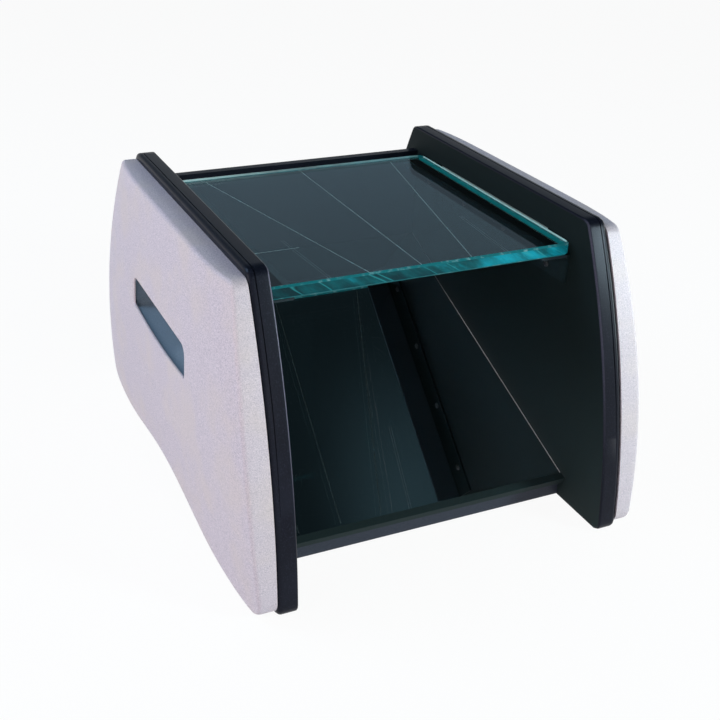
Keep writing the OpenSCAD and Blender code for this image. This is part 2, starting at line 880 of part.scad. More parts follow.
// Lamp holders in both ends of the pocket
module lamp_holders() {
  y0 = tube_len / 2 + fit;
  y1 = pocket_len / 2;
  half_h = pocket_h / 2 - fit;
  color(lamp_white)
    for (s = [-1, 1])
      difference() {
        along_y(s > 0 ? y0 : -y1, s > 0 ? y1 : -y0)
          round_rect(outer_x - pocket_depth, holder_x, glass_mid - half_h, glass_mid + half_h, 3);
        for (z = [-pin_z, pin_z])
          along_y(s * tube_len / 2 - pin_len - 1, s * tube_len / 2 + pin_len + 1)
            translate([tube_x, glass_mid + z])
              circle(d = pin_d + 2 * shaft_fit);
        rod_x(holder_x - 2, holder_x + past, s * lead_y, glass_mid, lead_d + 2 * shaft_fit);
      }
}

module left_lamp_holders() {
  on_side("left")
    lamp_holders();
}

module right_lamp_holders() {
  on_side("right")
    lamp_holders();
}

// Trough reflector around the outer side of a tube, pressed into the pocket
module reflector() {
  r = pocket_h / 2 - shaft_fit;
  x0 = outer_x - pocket_depth;
  half = tube_len / 2 - 1;
  color(steel)
    along_y(-half, half)
      difference() {
        union() {
          translate([tube_x, glass_mid])
            circle(r = r);
          translate([x0, glass_mid - r])
            square([tube_x - x0, 2 * r]);
        }
        translate([tube_x, glass_mid])
          circle(r = r - reflector_t);
        translate([x0 - r, glass_mid - r + reflector_t])
          square([tube_x - x0 + r, 2 * (r - reflector_t)]);
        translate([x0 - 2 * r, glass_mid - r])
          square([2 * r, 2 * r]);
      }
}

module left_reflector() {
  on_side("left")
    reflector();
}

module right_reflector() {
  on_side("right")
    reflector();
}

// Ballast for both lamps, with a mounting tab at each end
ballast_tab_y = (ballast_y0 + ballast_y1) / 2;
ballast_tab_len = 16;
ballast_tab_w = 14;
ballast_screw_x = ballast_x + 9;
ballast_tab_t = 2;
module ballast() {
  color(steel)
    difference() {
      union() {
        along_x(-ballast_x, ballast_x)
          difference() {
            round_rect(ballast_y0, ballast_y1, base_top - 4, base_top + ballast_h, 4);
            translate([ballast_y0 - past, base_top - 6])
              square([ballast_y1 - ballast_y0 + 2 * past, 6]);
          }
        translate([-ballast_x - ballast_tab_len, ballast_tab_y - ballast_tab_w / 2, base_top])
          cube([2 * (ballast_x + ballast_tab_len), ballast_tab_w, ballast_tab_t]);
      }
      for (x = [-1, 1])
        translate([x * ballast_screw_x, ballast_tab_y, base_top - past])
          cylinder(d = screw_d + fit, h = ballast_tab_t + 2 * past);
      on_both_sides()
        rod_x(ballast_x - 3, ballast_x + past, riser_y, lead_z, lead_d + 2 * shaft_fit);
      along_y(ballast_y1 - 3, ballast_y1 + past)
        translate([mains_x, lead_z])
          circle(d = lead_d + 2 * shaft_fit);
    }
}

// Lead that rises from the ballast and branches to both holders of a lamp
module lamp_lead() {
  color(rubber_black) {
    lead_run([
      [ballast_x - 3, riser_y, lead_z], [lead_x, riser_y, lead_z],
      [lead_x, riser_y, branch_z]]);
    lead_run([
      [holder_x - 2, lead_y, glass_mid], [lead_x, lead_y, glass_mid],
      [lead_x, lead_y, branch_z], [lead_x, -lead_y, branch_z],
      [lead_x, -lead_y, glass_mid], [holder_x - 2, -lead_y, glass_mid]]);
  }
}

module left_lamp_lead() {
  on_side("left")
    lamp_lead();
}

module right_lamp_lead() {
  on_side("right")
    lamp_lead();
}

// Lead from the inlet to the ballast
mains_x = -80;
mains_y = panel_back - inlet_d - 10;
mains_z = 46;
module mains_lead() {
  color(rubber_black)
    lead_run([
      [inlet_x, panel_back - inlet_d + 2, mains_z], [inlet_x, mains_y, mains_z],
      [inlet_x, mains_y, lead_z], [mains_x, mains_y, lead_z],
      [mains_x, ballast_y1 - 3, lead_z]]);
}

// Clip with its foot at 0 that holds a lead along Y at height h
module lead_clip(h) {
  r = lead_d / 2 + clip_wall;
  difference() {
    union() {
      translate([-clip_foot, -4, 0])
        cube([2 * clip_foot, 8, clip_wall]);
      translate([-r, -4, 0])
        cube([2 * r, 8, h]);
      along_y(-4, 4)
        translate([0, h])
          circle(r = r);
    }
    along_y(-4 - past, 4 + past)
      translate([0, h])
        circle(d = lead_d + 2 * shaft_fit);
  }
}

module lead_clips() {
  color(moulding_black) {
    on_both_sides() {
      translate([(ballast_x + inner_x) / 2, riser_y, base_top])
        rotate([0, 0, 90])
          lead_clip(lead_z - base_top);
      for (i = [0:2])
        translate([outer_x, riser_y, branch_z - clip_step / 2 - i * clip_step])
          rotate([0, 90, 0])
            rotate([0, 0, 90])
              lead_clip(lead_x - outer_x);
      for (y = [-clip_step, 0, clip_step])
        translate([outer_x, y, branch_z])
          rotate([0, 90, 0])
            lead_clip(lead_x - outer_x);
    }
    translate([(inlet_x + mains_x) / 2, mains_y, base_top])
      rotate([0, 0, 90])
        lead_clip(lead_z - base_top);
  }
}

// Puts its children at the inlet: Y points out of the rear panel, 0 is its outer face
module at_inlet() {
  translate([inlet_x, panel_back, lift + inlet_z])
    children();
}

// Inlet places, measured from its middle
rocker_z = 19;
rocker_w = 19;
rocker_r = 7.6;
rocker_depth = 9;
pivot_y = -0.5;
trunnion_r = 1.25;
trunnion_len = 2;
socket_z = -1;
socket_w = 24.5;
socket_h = 17;
socket_depth = 15;
drawer_z = -20;
drawer_w = 24;
drawer_h = 9.5;
drawer_depth = 20;
drawer_lip = 2;
fuse_y = -9;
fuse_d = 5;
inlet_screw_x = 20.5;
inlet_screw_d = 3;
inlet_screw_len = 11;

module inlet_screw_bores() {
  for (x = [-1, 1])
    along_y(-inlet_screw_len - past, flange_t + past)
      translate([x * inlet_screw_x, 0])
        circle(d = inlet_screw_d + 2 * shaft_fit);
}

// Inlet body: flange, socket well with two cut corners, rocker well and drawer well
module power_inlet() {
  sw = socket_w / 2;
  sh = socket_h / 2;
  color(moulding_black)
    at_inlet()
      difference() {
        union() {
          along_y(0, flange_t)
            round_rect(-flange_w / 2, flange_w / 2, -flange_h / 2, flange_h / 2, 4);
          along_y(-inlet_d, flange_t / 2)
            round_rect(-inlet_w / 2, inlet_w / 2, -inlet_h / 2, inlet_h / 2, 2);
        }
        along_y(-rocker_depth, flange_t + past)
          translate([0, rocker_z])
            square([rocker_w + 2 * slide_fit, 2 * (rocker_r + slide_fit)], center = true);
        rod_x(-rocker_w / 2 - trunnion_len - fit, rocker_w / 2 + trunnion_len + fit,
          pivot_y, rocker_z, 2 * (trunnion_r + shaft_fit));
        along_y(-socket_depth, flange_t + past)
          translate([0, socket_z])
            polygon([
              [-sw, -sh], [sw, -sh], [sw, sh - 5], [sw - 5, sh], [5 - sw, sh], [-sw, sh - 5]]);
        along_y(-drawer_depth - 1, flange_t + past)
          translate([0, drawer_z])
            square([drawer_w + 2 * slide_fit, drawer_h + 2 * slide_fit], center = true);
        pin_shapes(0);
        inlet_screw_bores();
        along_y(-inlet_d - past, 2 - inlet_d)
          translate([0, mains_z - lift - inlet_z])
            circle(d = lead_d + 2 * shaft_fit);
      }
}

// Three blades, with the earth blade in the middle
module pin_shapes(grow) {
  for (p = [[-7, -2], [0, 2], [7, -2]])
    translate([p[0] - 1 - grow, -inlet_d + 3, socket_z + p[1] - 2 - grow])
      cube([2 + 2 * grow, inlet_d - 4, 4 + 2 * grow]);
}

module inlet_pins() {
  color(steel)
    at_inlet()
      pin_shapes(0);
}

// Drawer with an open cradle for the fuse and a finger lip on its front
module fuse_drawer() {
  color(moulding_black)
    at_inlet()
      difference() {
        union() {
          along_y(-drawer_depth, flange_t)
            translate([0, drawer_z])
              square([drawer_w, drawer_h], center = true);
          along_y(flange_t, flange_t + drawer_lip)
            round_rect(-drawer_w / 2 - 1, drawer_w / 2 + 1,
              drawer_z - drawer_h / 2 - 1, drawer_z + drawer_h / 2 + 1, 1);
        }
        rod_x(-10 - shaft_fit, 10 + shaft_fit, fuse_y, drawer_z, fuse_d + 2 * shaft_fit);
        translate([-10 - shaft_fit, fuse_y - fuse_d / 2 - shaft_fit, drawer_z])
          cube([20 + 2 * shaft_fit, fuse_d + 2 * shaft_fit, drawer_h]);
        translate([-5, flange_t + 0.8, drawer_z + drawer_h / 2 - 1])
          cube([10, drawer_lip, 3]);
      }
}

// Glass fuse with two metal caps
module fuse() {
  color(steel)
    at_inlet() {
      rod_x(-10, 10, fuse_y, drawer_z, fuse_d - 0.6);
      for (x = [-10, 5])
        rod_x(x, x + 5, fuse_y, drawer_z, fuse_d);
    }
}

// Rocker in its off position: two wings on a round hub that turns about X
module switch_rocker() {
  wing = rocker_r * tan(rocker_tilt);
  rise = flange_t - pivot_y + 1;
  color([0.1, 0.1, 0.1])
    at_inlet()
      translate([0, pivot_y, rocker_z])
        rotate([-rocker_tilt, 0, 0]) {
          along_x(-rocker_w / 2, rocker_w / 2)
            intersection() {
              circle(r = rocker_r);
              polygon([
                [-4, -rocker_r], [rise + wing, -rocker_r], [rise, 0],
                [rise + wing, rocker_r], [-4, rocker_r]]);
            }
          rod_x(-rocker_w / 2 - trunnion_len, rocker_w / 2 + trunnion_len, 0, 0, 2 * trunnion_r);
        }
}

module frame_bolts() {
  color(steel)
    on_both_sides()
      for (p = bolt_at)
        translate([bolt_head_x, p[0], lift + p[1]])
          rotate([0, -90, 0])
            pan_screw(bolt_d, bolt_len, bolt_head_d, bolt_head_h);
}

module cover_screws() {
  color(steel)
    on_both_sides()
      for (p = cover_screw_at)
        screw_x(inner_x + head_h, 1, board_t - head_h + boss_bite - 1, p);
}

module cup_screws() {
  color(steel)
    on_both_sides()
      for (p = cup_screw_at)
        screw_x(outer_x + cup_wall, -1, cup_wall + cup_bite - 1, p);
}

module ledge_screws() {
  color(steel)
    on_both_sides()
      for (p = ledge_screw_at)
        screw_x(inner_x - ledge_t, 1, ledge_t + ledge_bite - 1, p);
}

module rail_screws() {
  color(steel)
    on_both_sides()
      on_mirror()
        for (s = rail_screw_s)
          translate([inner_x - rail, s, -stack_t - rail / 2])
            rotate([0, 90, 0])
              pan_screw(screw_d, rail + rail_bite - 1, head_d, head_h);
}

module ballast_screws() {
  color(steel)
    for (x = [-1, 1])
      translate([x * ballast_screw_x, ballast_tab_y, base_top + ballast_tab_t])
        rotate([180, 0, 0])
          pan_screw(screw_d, base_t + ballast_tab_t - 0.5, head_d, head_h);
}

module inlet_screws() {
  color(steel)
    at_inlet()
      for (x = [-1, 1])
        translate([x * inlet_screw_x, flange_t, 0])
          rotate([90, 0, 0])
            pan_screw(inlet_screw_d, inlet_screw_len, 6, 1.8);
}

module floor_pads() {
  color(rubber_black)
    on_both_sides()
      for (y = [-pad_y, pad_y])
        translate([pad_x, y, 0])
          cylinder(d = pad_d, h = pad_t);
}

left_side_frame();
right_side_frame();
left_cover();
right_cover();
left_handle_cup();
right_handle_cup();
glass_plate();
left_glass_ledge();
right_glass_ledge();
left_glass_strip();
right_glass_strip();
mirror_glass();
mirror_board();
left_mirror_rail();
right_mirror_rail();
front_bar();
rear_panel();
base_panel();
left_lamp_tube();
right_lamp_tube();
left_lamp_holders();
right_lamp_holders();
left_reflector();
right_reflector();
ballast();
left_lamp_lead();
right_lamp_lead();
mains_lead();
lead_clips();
power_inlet();
inlet_pins();
fuse_drawer();
fuse();
switch_rocker();
frame_bolts();
cover_screws();
cup_screws();
ledge_screws();
rail_screws();
ballast_screws();
inlet_screws();
floor_pads();
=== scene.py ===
# Podoscope: materials, smooth shells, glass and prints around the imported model
import json
import math

import bmesh
import bpy
import numpy as np
from mathutils import Matrix, Vector


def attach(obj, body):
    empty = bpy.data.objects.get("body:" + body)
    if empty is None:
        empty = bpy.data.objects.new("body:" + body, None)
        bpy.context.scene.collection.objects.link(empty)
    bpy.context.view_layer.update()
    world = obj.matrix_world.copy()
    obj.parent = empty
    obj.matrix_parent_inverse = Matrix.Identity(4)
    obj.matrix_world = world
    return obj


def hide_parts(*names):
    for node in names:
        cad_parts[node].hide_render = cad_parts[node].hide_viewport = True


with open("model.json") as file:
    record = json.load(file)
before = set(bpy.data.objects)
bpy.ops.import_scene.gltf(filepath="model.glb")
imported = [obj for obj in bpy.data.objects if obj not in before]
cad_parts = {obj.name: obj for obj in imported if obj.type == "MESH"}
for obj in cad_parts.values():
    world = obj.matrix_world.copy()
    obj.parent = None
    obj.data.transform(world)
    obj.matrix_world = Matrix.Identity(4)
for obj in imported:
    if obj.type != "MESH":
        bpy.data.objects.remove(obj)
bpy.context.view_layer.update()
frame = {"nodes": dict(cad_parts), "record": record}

nodes = frame["nodes"]
record = frame["record"]
mm = 0.001
mainBody = "frame"
glassBody = "glass"
print("frame loaded:", len(nodes), "nodes")

# The view of the reference, fitted to the object's own edges

cameraView = {
    "place": (-0.5814, -1.1753, 0.8159),
    "yaw": 24.0,
    "pitch": 24.64,
    "roll": 1.645,
    "lens": 54.47,
    "sensor": 36,
    "shift": (0.0708, -0.0872),
}


def makeCamera(c):
    yaw, pitch, roll = (math.radians(c[key]) for key in ("yaw", "pitch", "roll"))
    ahead = Vector((math.sin(yaw) * math.cos(pitch), math.cos(yaw) * math.cos(pitch), -math.sin(pitch)))
    side = Vector((math.cos(yaw), -math.sin(yaw), 0))
    up = side.cross(ahead)
    axisX = math.cos(roll) * side + math.sin(roll) * up
    axisY = math.cos(roll) * up - math.sin(roll) * side
    lens = bpy.data.cameras.new("camera")
    lens.lens = c["lens"]
    lens.sensor_width = c["sensor"]
    lens.shift_x, lens.shift_y = c["shift"]
    camera = bpy.data.objects.new("camera", lens)
    turned = Matrix((axisX, axisY, -ahead)).transposed().to_4x4()
    camera.matrix_world = Matrix.Translation(c["place"]) @ turned
    bpy.context.scene.collection.objects.link(camera)
    bpy.context.scene.camera = camera


makeCamera(cameraView)


# Shader maths: a wire stands for a node's output, and adds Math nodes when it is used in an expression

class Wire:
    def __init__(self, maker, out):
        self.maker, self.out = maker, out

    def math(self, operation, *others):
        return self.maker.node("ShaderNodeMath", {"operation": operation}, dict(enumerate((self, *others))))

    def __add__(self, other):
        return self.math("ADD", other)

    def __sub__(self, other):
        return self.math("SUBTRACT", other)

    def __rsub__(self, other):
        return self.maker.node("ShaderNodeMath", {"operation": "SUBTRACT"}, {0: other, 1: self})

    def __mul__(self, other):
        return self.math("MULTIPLY", other)

    __radd__ = __add__
    __rmul__ = __mul__

    def between(self, low, high):  # 0 at low, 1 at high, smooth and clamped
        return self.maker.node("ShaderNodeMapRange", {"interpolation_type": "SMOOTHSTEP"},
                               {"Value": self, "From Min": low, "From Max": high})


def setStops(ramp, stops):
    while len(ramp.elements) < len(stops):
        ramp.elements.new(1)
    for element, (position, color) in zip(ramp.elements, stops):
        element.position = position
        element.color = (*color, 1)


class ShaderTree:  # adds and joins the nodes of one material, or of the world
    def __init__(self, tree):
        self.tree = tree
        self.objectPlace = None

    def node(self, kind, settings=None, values=None, out=0):
        made = self.tree.nodes.new(kind)
        for key, value in (settings or {}).items():
            if key == "stops":
                setStops(made.color_ramp, value)
            else:
                setattr(made, key, value)
        for key, value in (values or {}).items():
            self.join(value, made.inputs[key])
        return Wire(self, made.outputs[out])

    def join(self, value, socket):
        if isinstance(value, Wire):
            self.tree.links.new(value.out, socket)
        elif isinstance(value, tuple) and len(value) == 3 and socket.type == "RGBA":
            socket.default_value = (*value, 1)
        else:
            socket.default_value = value

    def find(self, kind):
        return next(n for n in self.tree.nodes if n.type == kind)

    def place(self):
        if self.objectPlace is None:
            self.objectPlace = self.node("ShaderNodeTexCoord", out="Object")
        return self.objectPlace

    def axis(self, name):
        return self.node("ShaderNodeSeparateXYZ", values={"Vector": self.place()}, out=name)

    def coords(self, stretch, turn):  # turned first and then stretched, so that streaks can slant
        return self.node("ShaderNodeMapping", {"vector_type": "TEXTURE"}, {
            "Vector": self.place(), "Rotation": tuple(math.radians(a) for a in turn),
            "Scale": tuple(1 / k for k in stretch)})

    def noise(self, size, detail=2.0, stretch=(1, 1, 1), roughness=0.5, turn=(0, 0, 0)):
        return self.node("ShaderNodeTexNoise", {"noise_dimensions": "3D"}, {
            "Vector": self.coords(stretch, turn), "Scale": 1 / size, "Detail": detail,
            "Roughness": roughness})

    def mix(self, factor, a, b):
        return self.node("ShaderNodeMix", {"data_type": "RGBA"}, {"Factor": factor, 6: a, 7: b}, out=2)

    def ramp(self, factor, *stops):
        return self.node("ShaderNodeValToRGB", {"stops": stops}, {"Fac": factor})


class Finish(ShaderTree):
    def __init__(self, name, **sockets):
        self.material = bpy.data.materials.new(name)
        self.material.use_nodes = True
        super().__init__(self.material.node_tree)
        self.shader = self.find("BSDF_PRINCIPLED")
        for key, value in sockets.items():
            self.put(key, value)

    def put(self, key, value):
        self.join(value, self.shader.inputs[key.replace("_", " ")])

    def bump(self, height, depth, strength=1.0):
        self.put("Normal", self.node("ShaderNodeBump", values={
            "Height": height, "Distance": depth, "Strength": strength}))

    def texture(self, wire, rough, spread, depth, relief=1.0):  # roughness and bump from the same pattern
        self.put("Roughness", wire * spread + rough)
        self.bump(wire, depth, relief)
        return self.material


# Finishes: sizes and places in metres, tones as linear colours

def silverPaint():  # pinkish silver with fine flecks and a few warmer clouds
    p = {"tones": ((0.30, (0.355, 0.30, 0.345)), (0.5, (0.545, 0.455, 0.495)), (0.72, (0.70, 0.60, 0.63))),
         "fleck": 0.0011, "fleckStretch": (1, 0.4, 1), "fleckCrisp": 0.7,
         "warm": (0.62, 0.50, 0.42), "warmShare": 0.3, "cloud": 0.06, "cloudEdge": (0.42, 0.72),
         "rough": 0.42, "roughSpread": 0.2, "depth": 0.0001, "relief": 0.8}
    f = Finish("silverPaint", Metallic=0.15, Specular_IOR_Level=0.35)
    fleck = f.noise(p["fleck"], 3.0, p["fleckStretch"], p["fleckCrisp"])
    cloud = f.noise(p["cloud"]).between(*p["cloudEdge"])
    f.put("Base Color", f.mix(cloud * p["warmShare"], f.ramp(fleck, *p["tones"]), p["warm"]))
    return f.texture(fleck, p["rough"], p["roughSpread"], p["depth"], p["relief"])


def blackLacquer():  # black lacquer with random wear; a painted highlight runs along the inner front edge, strongest on the left board
    p = {"base": (0.004, 0.005, 0.009), "worn": (0.009, 0.010, 0.018), "wornShare": 0.6,
         "smear": 0.06, "smearEdge": (0.45, 0.8), "fleck": (0.018, 0.019, 0.032), "fleckShare": 0.7,
         "grain": 0.0016, "grainEdge": (0.5, 0.78), "paintedHighlight": (0.15, 0.135, 0.19), "highlightShare": 0.6,
         "edgeX": (0.2009, 0.2023), "edgeY": (-0.22, -0.2), "edgeZ": (0.06, 0.27),
         "fadeX": (-0.1, 0.1), "fade": 0.7, "rough": 0.24, "smearRough": 0.12, "grainRough": 0.08,
         "depth": 0.00004, "relief": 0.6}
    f = Finish("blackLacquer", Specular_IOR_Level=0.13, Specular_Tint=(0.87, 0.85, 1.0))
    grain = f.noise(p["grain"])
    smear = f.noise(p["smear"], 3.0)
    ground = f.mix(smear.between(*p["smearEdge"]) * p["wornShare"], p["base"], p["worn"])
    tone = f.mix(grain.between(*p["grainEdge"]) * p["fleckShare"], ground, p["fleck"])
    # painted highlight: the inner front rounding gets a lighter tone, fading to the right and towards the
    # bottom
    inner = 1 - f.axis("X").math("ABSOLUTE").between(*p["edgeX"])
    edge = inner * (1 - f.axis("Y").between(*p["edgeY"])) * (1 - f.axis("X").between(*p["fadeX"]) * p["fade"])
    edge = edge * f.axis("Z").between(*p["edgeZ"]) * (grain * p["highlightShare"] + p["highlightShare"])
    f.put("Base Color", f.mix(edge, tone, p["paintedHighlight"]))
    f.put("Roughness", smear * p["smearRough"] + grain * p["grainRough"] + p["rough"])
    f.bump(grain, p["depth"], p["relief"])
    return f.material


def innerBlack():  # a matt black that is a little paler towards the bottom, where light comes in
    p = {"base": (0.0055, 0.0105, 0.0105), "shade": (0.0035, 0.007, 0.0075), "grain": 0.0014,
         "grainEdge": (0.3, 0.72), "low": (0.014, 0.023, 0.024), "lowZ": (0.06, 0.25),
         "rough": 0.6, "roughSpread": 0.2, "depth": 0.00005}
    f = Finish("innerBlack", Specular_IOR_Level=0.12)
    grain = f.noise(p["grain"], 3.0)
    tone = f.mix(grain.between(*p["grainEdge"]), p["shade"], p["base"])
    f.put("Base Color", f.mix(1 - f.axis("Z").between(*p["lowZ"]), tone, p["low"]))
    return f.texture(grain, p["rough"], p["roughSpread"], p["depth"])


def powderCoat():  # the ledges' black, partly lightened as painted light under the glass, with painted shade on the upright legs
    p = {"base": (0.026, 0.036, 0.042), "shade": (0.018, 0.025, 0.03), "grain": 0.0008,
         "grainEdge": (0.3, 0.72), "leg": (0.006, 0.0115, 0.012), "legX": (0.194, 0.1968),
         "rough": 0.42, "roughSpread": 0.2, "depth": 0.00006}
    f = Finish("powderCoat", Specular_IOR_Level=0.08)
    grain = f.noise(p["grain"], 3.0)
    tone = f.mix(grain.between(*p["grainEdge"]), p["shade"], p["base"])
    # painted shade: the upright legs take a deeper black so that their lit ends stay dark
    f.put("Base Color", f.mix(f.axis("X").math("ABSOLUTE").between(*p["legX"]), tone, p["leg"]))
    return f.texture(grain, p["rough"], p["roughSpread"], p["depth"])


def cupPlastic():
    p = {"base": (0.235, 0.285, 0.34), "shade": (0.165, 0.205, 0.245), "grain": 0.0009,
         "grainEdge": (0.3, 0.7), "rough": 0.5, "roughSpread": 0.2, "depth": 0.00006}
    f = Finish("cupPlastic")
    grain = f.noise(p["grain"])
    f.put("Base Color", f.mix(grain.between(*p["grainEdge"]), p["shade"], p["base"]))
    return f.texture(grain, p["rough"], p["roughSpread"], p["depth"])


def clearGlass():
    p = {"tint": (0.22, 0.84, 0.82), "density": 13.0, "smear": 0.03, "smearEdge": (0.35, 0.9),
         "smearRough": 0.02}
    f = Finish("clearGlass", Transmission_Weight=1.0, IOR=1.52, Base_Color=(1, 1, 1))
    f.put("Roughness", f.noise(p["smear"]).between(*p["smearEdge"]) * p["smearRough"])
    deep = f.node("ShaderNodeVolumeAbsorption", values={"Color": p["tint"], "Density": p["density"]})
    f.join(deep, f.find("OUTPUT_MATERIAL").inputs["Volume"])
    return f.material


def glassEdge():  # the plate's sides: green-blue glass in slanting streaks, with a painted glow, painted light towards the right, painted reflected lines, painted highlights on the right and rear sides and painted light in the underside rim
    p = {"tones": ((0.38, (0.003, 0.020, 0.025)), (0.50, (0.003, 0.058, 0.067)), (0.68, (0.004, 0.21, 0.27))),
         "slant": (0, -58, 0), "patch": 0.05, "patchStretch": (1, 1, 0.4), "patchShare": 0.35,
         "streak": 0.012, "streakStretch": (1, 1, 0.25), "streakCrisp": 0.6, "streakShare": 0.5,
         "litRightX": (-0.05, 0.19), "litRightShare": 0.2,
         "line": (0.02, 0.20, 0.215), "reflectedLineShare": 0.6, "lineSlant": (0, -60, 0), "lineSize": 0.024,
         "lineStretch": (1, 1, 0.12), "lineStart": (0.53, 0.55), "lineStop": (0.55, 0.57),
         "side": (0.62, 0.80, 0.80), "sideX": (0.1955, 0.1965), "sideY": (0.1768, 0.1778),
         "sideStreak": 0.6, "sideShare": 0.5, "fadeX": (-0.16, 0.0), "fade": 0.7,
         "under": (0.004, 0.14, 0.145), "underZ": (0.3258, 0.3262), "underStreak": 0.8, "underShare": 0.4,
         "fine": 0.003, "fineStretch": (1, 1, 0.3), "rough": 0.12, "roughSpread": 0.25, "glow": 0.5}
    f = Finish("glassEdge", Specular_IOR_Level=0.08, Emission_Strength=p["glow"])
    patch = f.noise(p["patch"], 2.0, p["patchStretch"], turn=p["slant"])
    streak = f.noise(p["streak"], 3.0, p["streakStretch"], p["streakCrisp"], p["slant"])
    fine = f.noise(p["fine"], 2.0, p["fineStretch"], turn=p["slant"])
    # painted light: the edge grows paler towards the right
    clear = f.axis("X").between(*p["litRightX"])
    blend = patch * p["patchShare"] + streak * p["streakShare"] + clear * p["litRightShare"]
    # painted reflection: thin slanting light lines
    line = f.noise(p["lineSize"], 1.0, p["lineStretch"], turn=p["lineSlant"])
    line = line.between(*p["lineStart"]) * (1 - line.between(*p["lineStop"]))
    tone = f.mix(line * p["reflectedLineShare"], f.ramp(blend, *p["tones"]), p["line"])
    # painted highlight: the right side and the rear are pale, fading to the left
    rear = f.axis("Y").between(*p["sideY"]) * (1 - f.axis("X").between(*p["fadeX"]) * p["fade"])
    side = f.axis("X").between(*p["sideX"]) + rear
    tone = f.mix(side * (streak * p["sideStreak"] + p["sideShare"]), tone, p["side"])
    # painted light: the underside rim near the right edge turns green-blue
    under = 1 - f.axis("Z").between(*p["underZ"])
    tone = f.mix(under * (streak * p["underStreak"] + p["underShare"]), tone, p["under"])
    f.put("Base Color", tone)
    # painted glow: the edge tone also shines as emission
    f.put("Emission Color", tone)
    f.put("Roughness", fine * p["roughSpread"] + p["rough"])
    return f.material


def glassArris():  # the ground bevels along the plate's edges, with a painted glow for the light they catch
    p = {"base": (0.005, 0.075, 0.085), "chip": (0.35, 0.5, 0.5), "chipShare": 0.25, "grain": 0.006,
         "grainEdge": (0.5, 0.8), "rough": 0.2, "roughSpread": 0.3, "glow": 0.8}
    f = Finish("glassArris", Specular_IOR_Level=0.1, Emission_Strength=p["glow"])
    grain = f.noise(p["grain"], 3.0)
    tone = f.mix(grain.between(*p["grainEdge"]) * p["chipShare"], p["base"], p["chip"])
    f.put("Base Color", tone)
    # painted glow: the bevel tone also shines as emission
    f.put("Emission Color", tone)
    f.put("Roughness", grain * p["roughSpread"] + p["rough"])
    return f.material


def silvering():
    p = {"base": (0.80, 0.83, 0.85), "haze": (0.66, 0.70, 0.73), "hazeShare": 0.5, "cloud": 0.07,
         "cloudEdge": (0.45, 0.85), "rough": 0.015, "roughSpread": 0.03}
    f = Finish("silvering", Metallic=1.0)
    haze = f.noise(p["cloud"], 3.0).between(*p["cloudEdge"])
    f.put("Base Color", f.mix(haze * p["hazeShare"], p["base"], p["haze"]))
    f.put("Roughness", haze * p["roughSpread"] + p["rough"])
    return f.material


def groundGlass():  # the mirror's rim: ground glass, pale at the front, with painted shade further up and a painted glow
    p = {"base": (0.44, 0.41, 0.42), "chip": (0.80, 0.76, 0.76), "paintedShade": (0.03, 0.035, 0.037),
         "grain": 0.003, "grainEdge": (0.4, 0.75), "fadeY": (0.02, 0.13), "rough": 0.2, "roughSpread": 0.2,
         "glow": 0.9}
    f = Finish("groundGlass", Coat_Weight=0.3, Emission_Strength=p["glow"])
    grain = f.noise(p["grain"], 3.0)
    tone = f.mix(grain.between(*p["grainEdge"]), p["base"], p["chip"])
    # painted shade: the rim turns dark further up the slope
    tone = f.mix(f.axis("Y").between(*p["fadeY"]), tone, p["paintedShade"])
    f.put("Base Color", tone)
    # painted glow: the rim tone also shines as emission
    f.put("Emission Color", tone)
    f.put("Roughness", grain * p["roughSpread"] + p["rough"])
    return f.material


mottle = {"edge": (0.3, 0.72), "roughSpread": 0.2}


def plain(name, base, shade, grain, rough, depth=0.00003, **sockets):  # two close tones in a fine mottle
    f = Finish(name, **sockets)
    wire = f.noise(grain, 3.0)
    f.put("Base Color", f.mix(wire.between(*mottle["edge"]), shade, base))
    return f.texture(wire, rough, mottle["roughSpread"], depth)


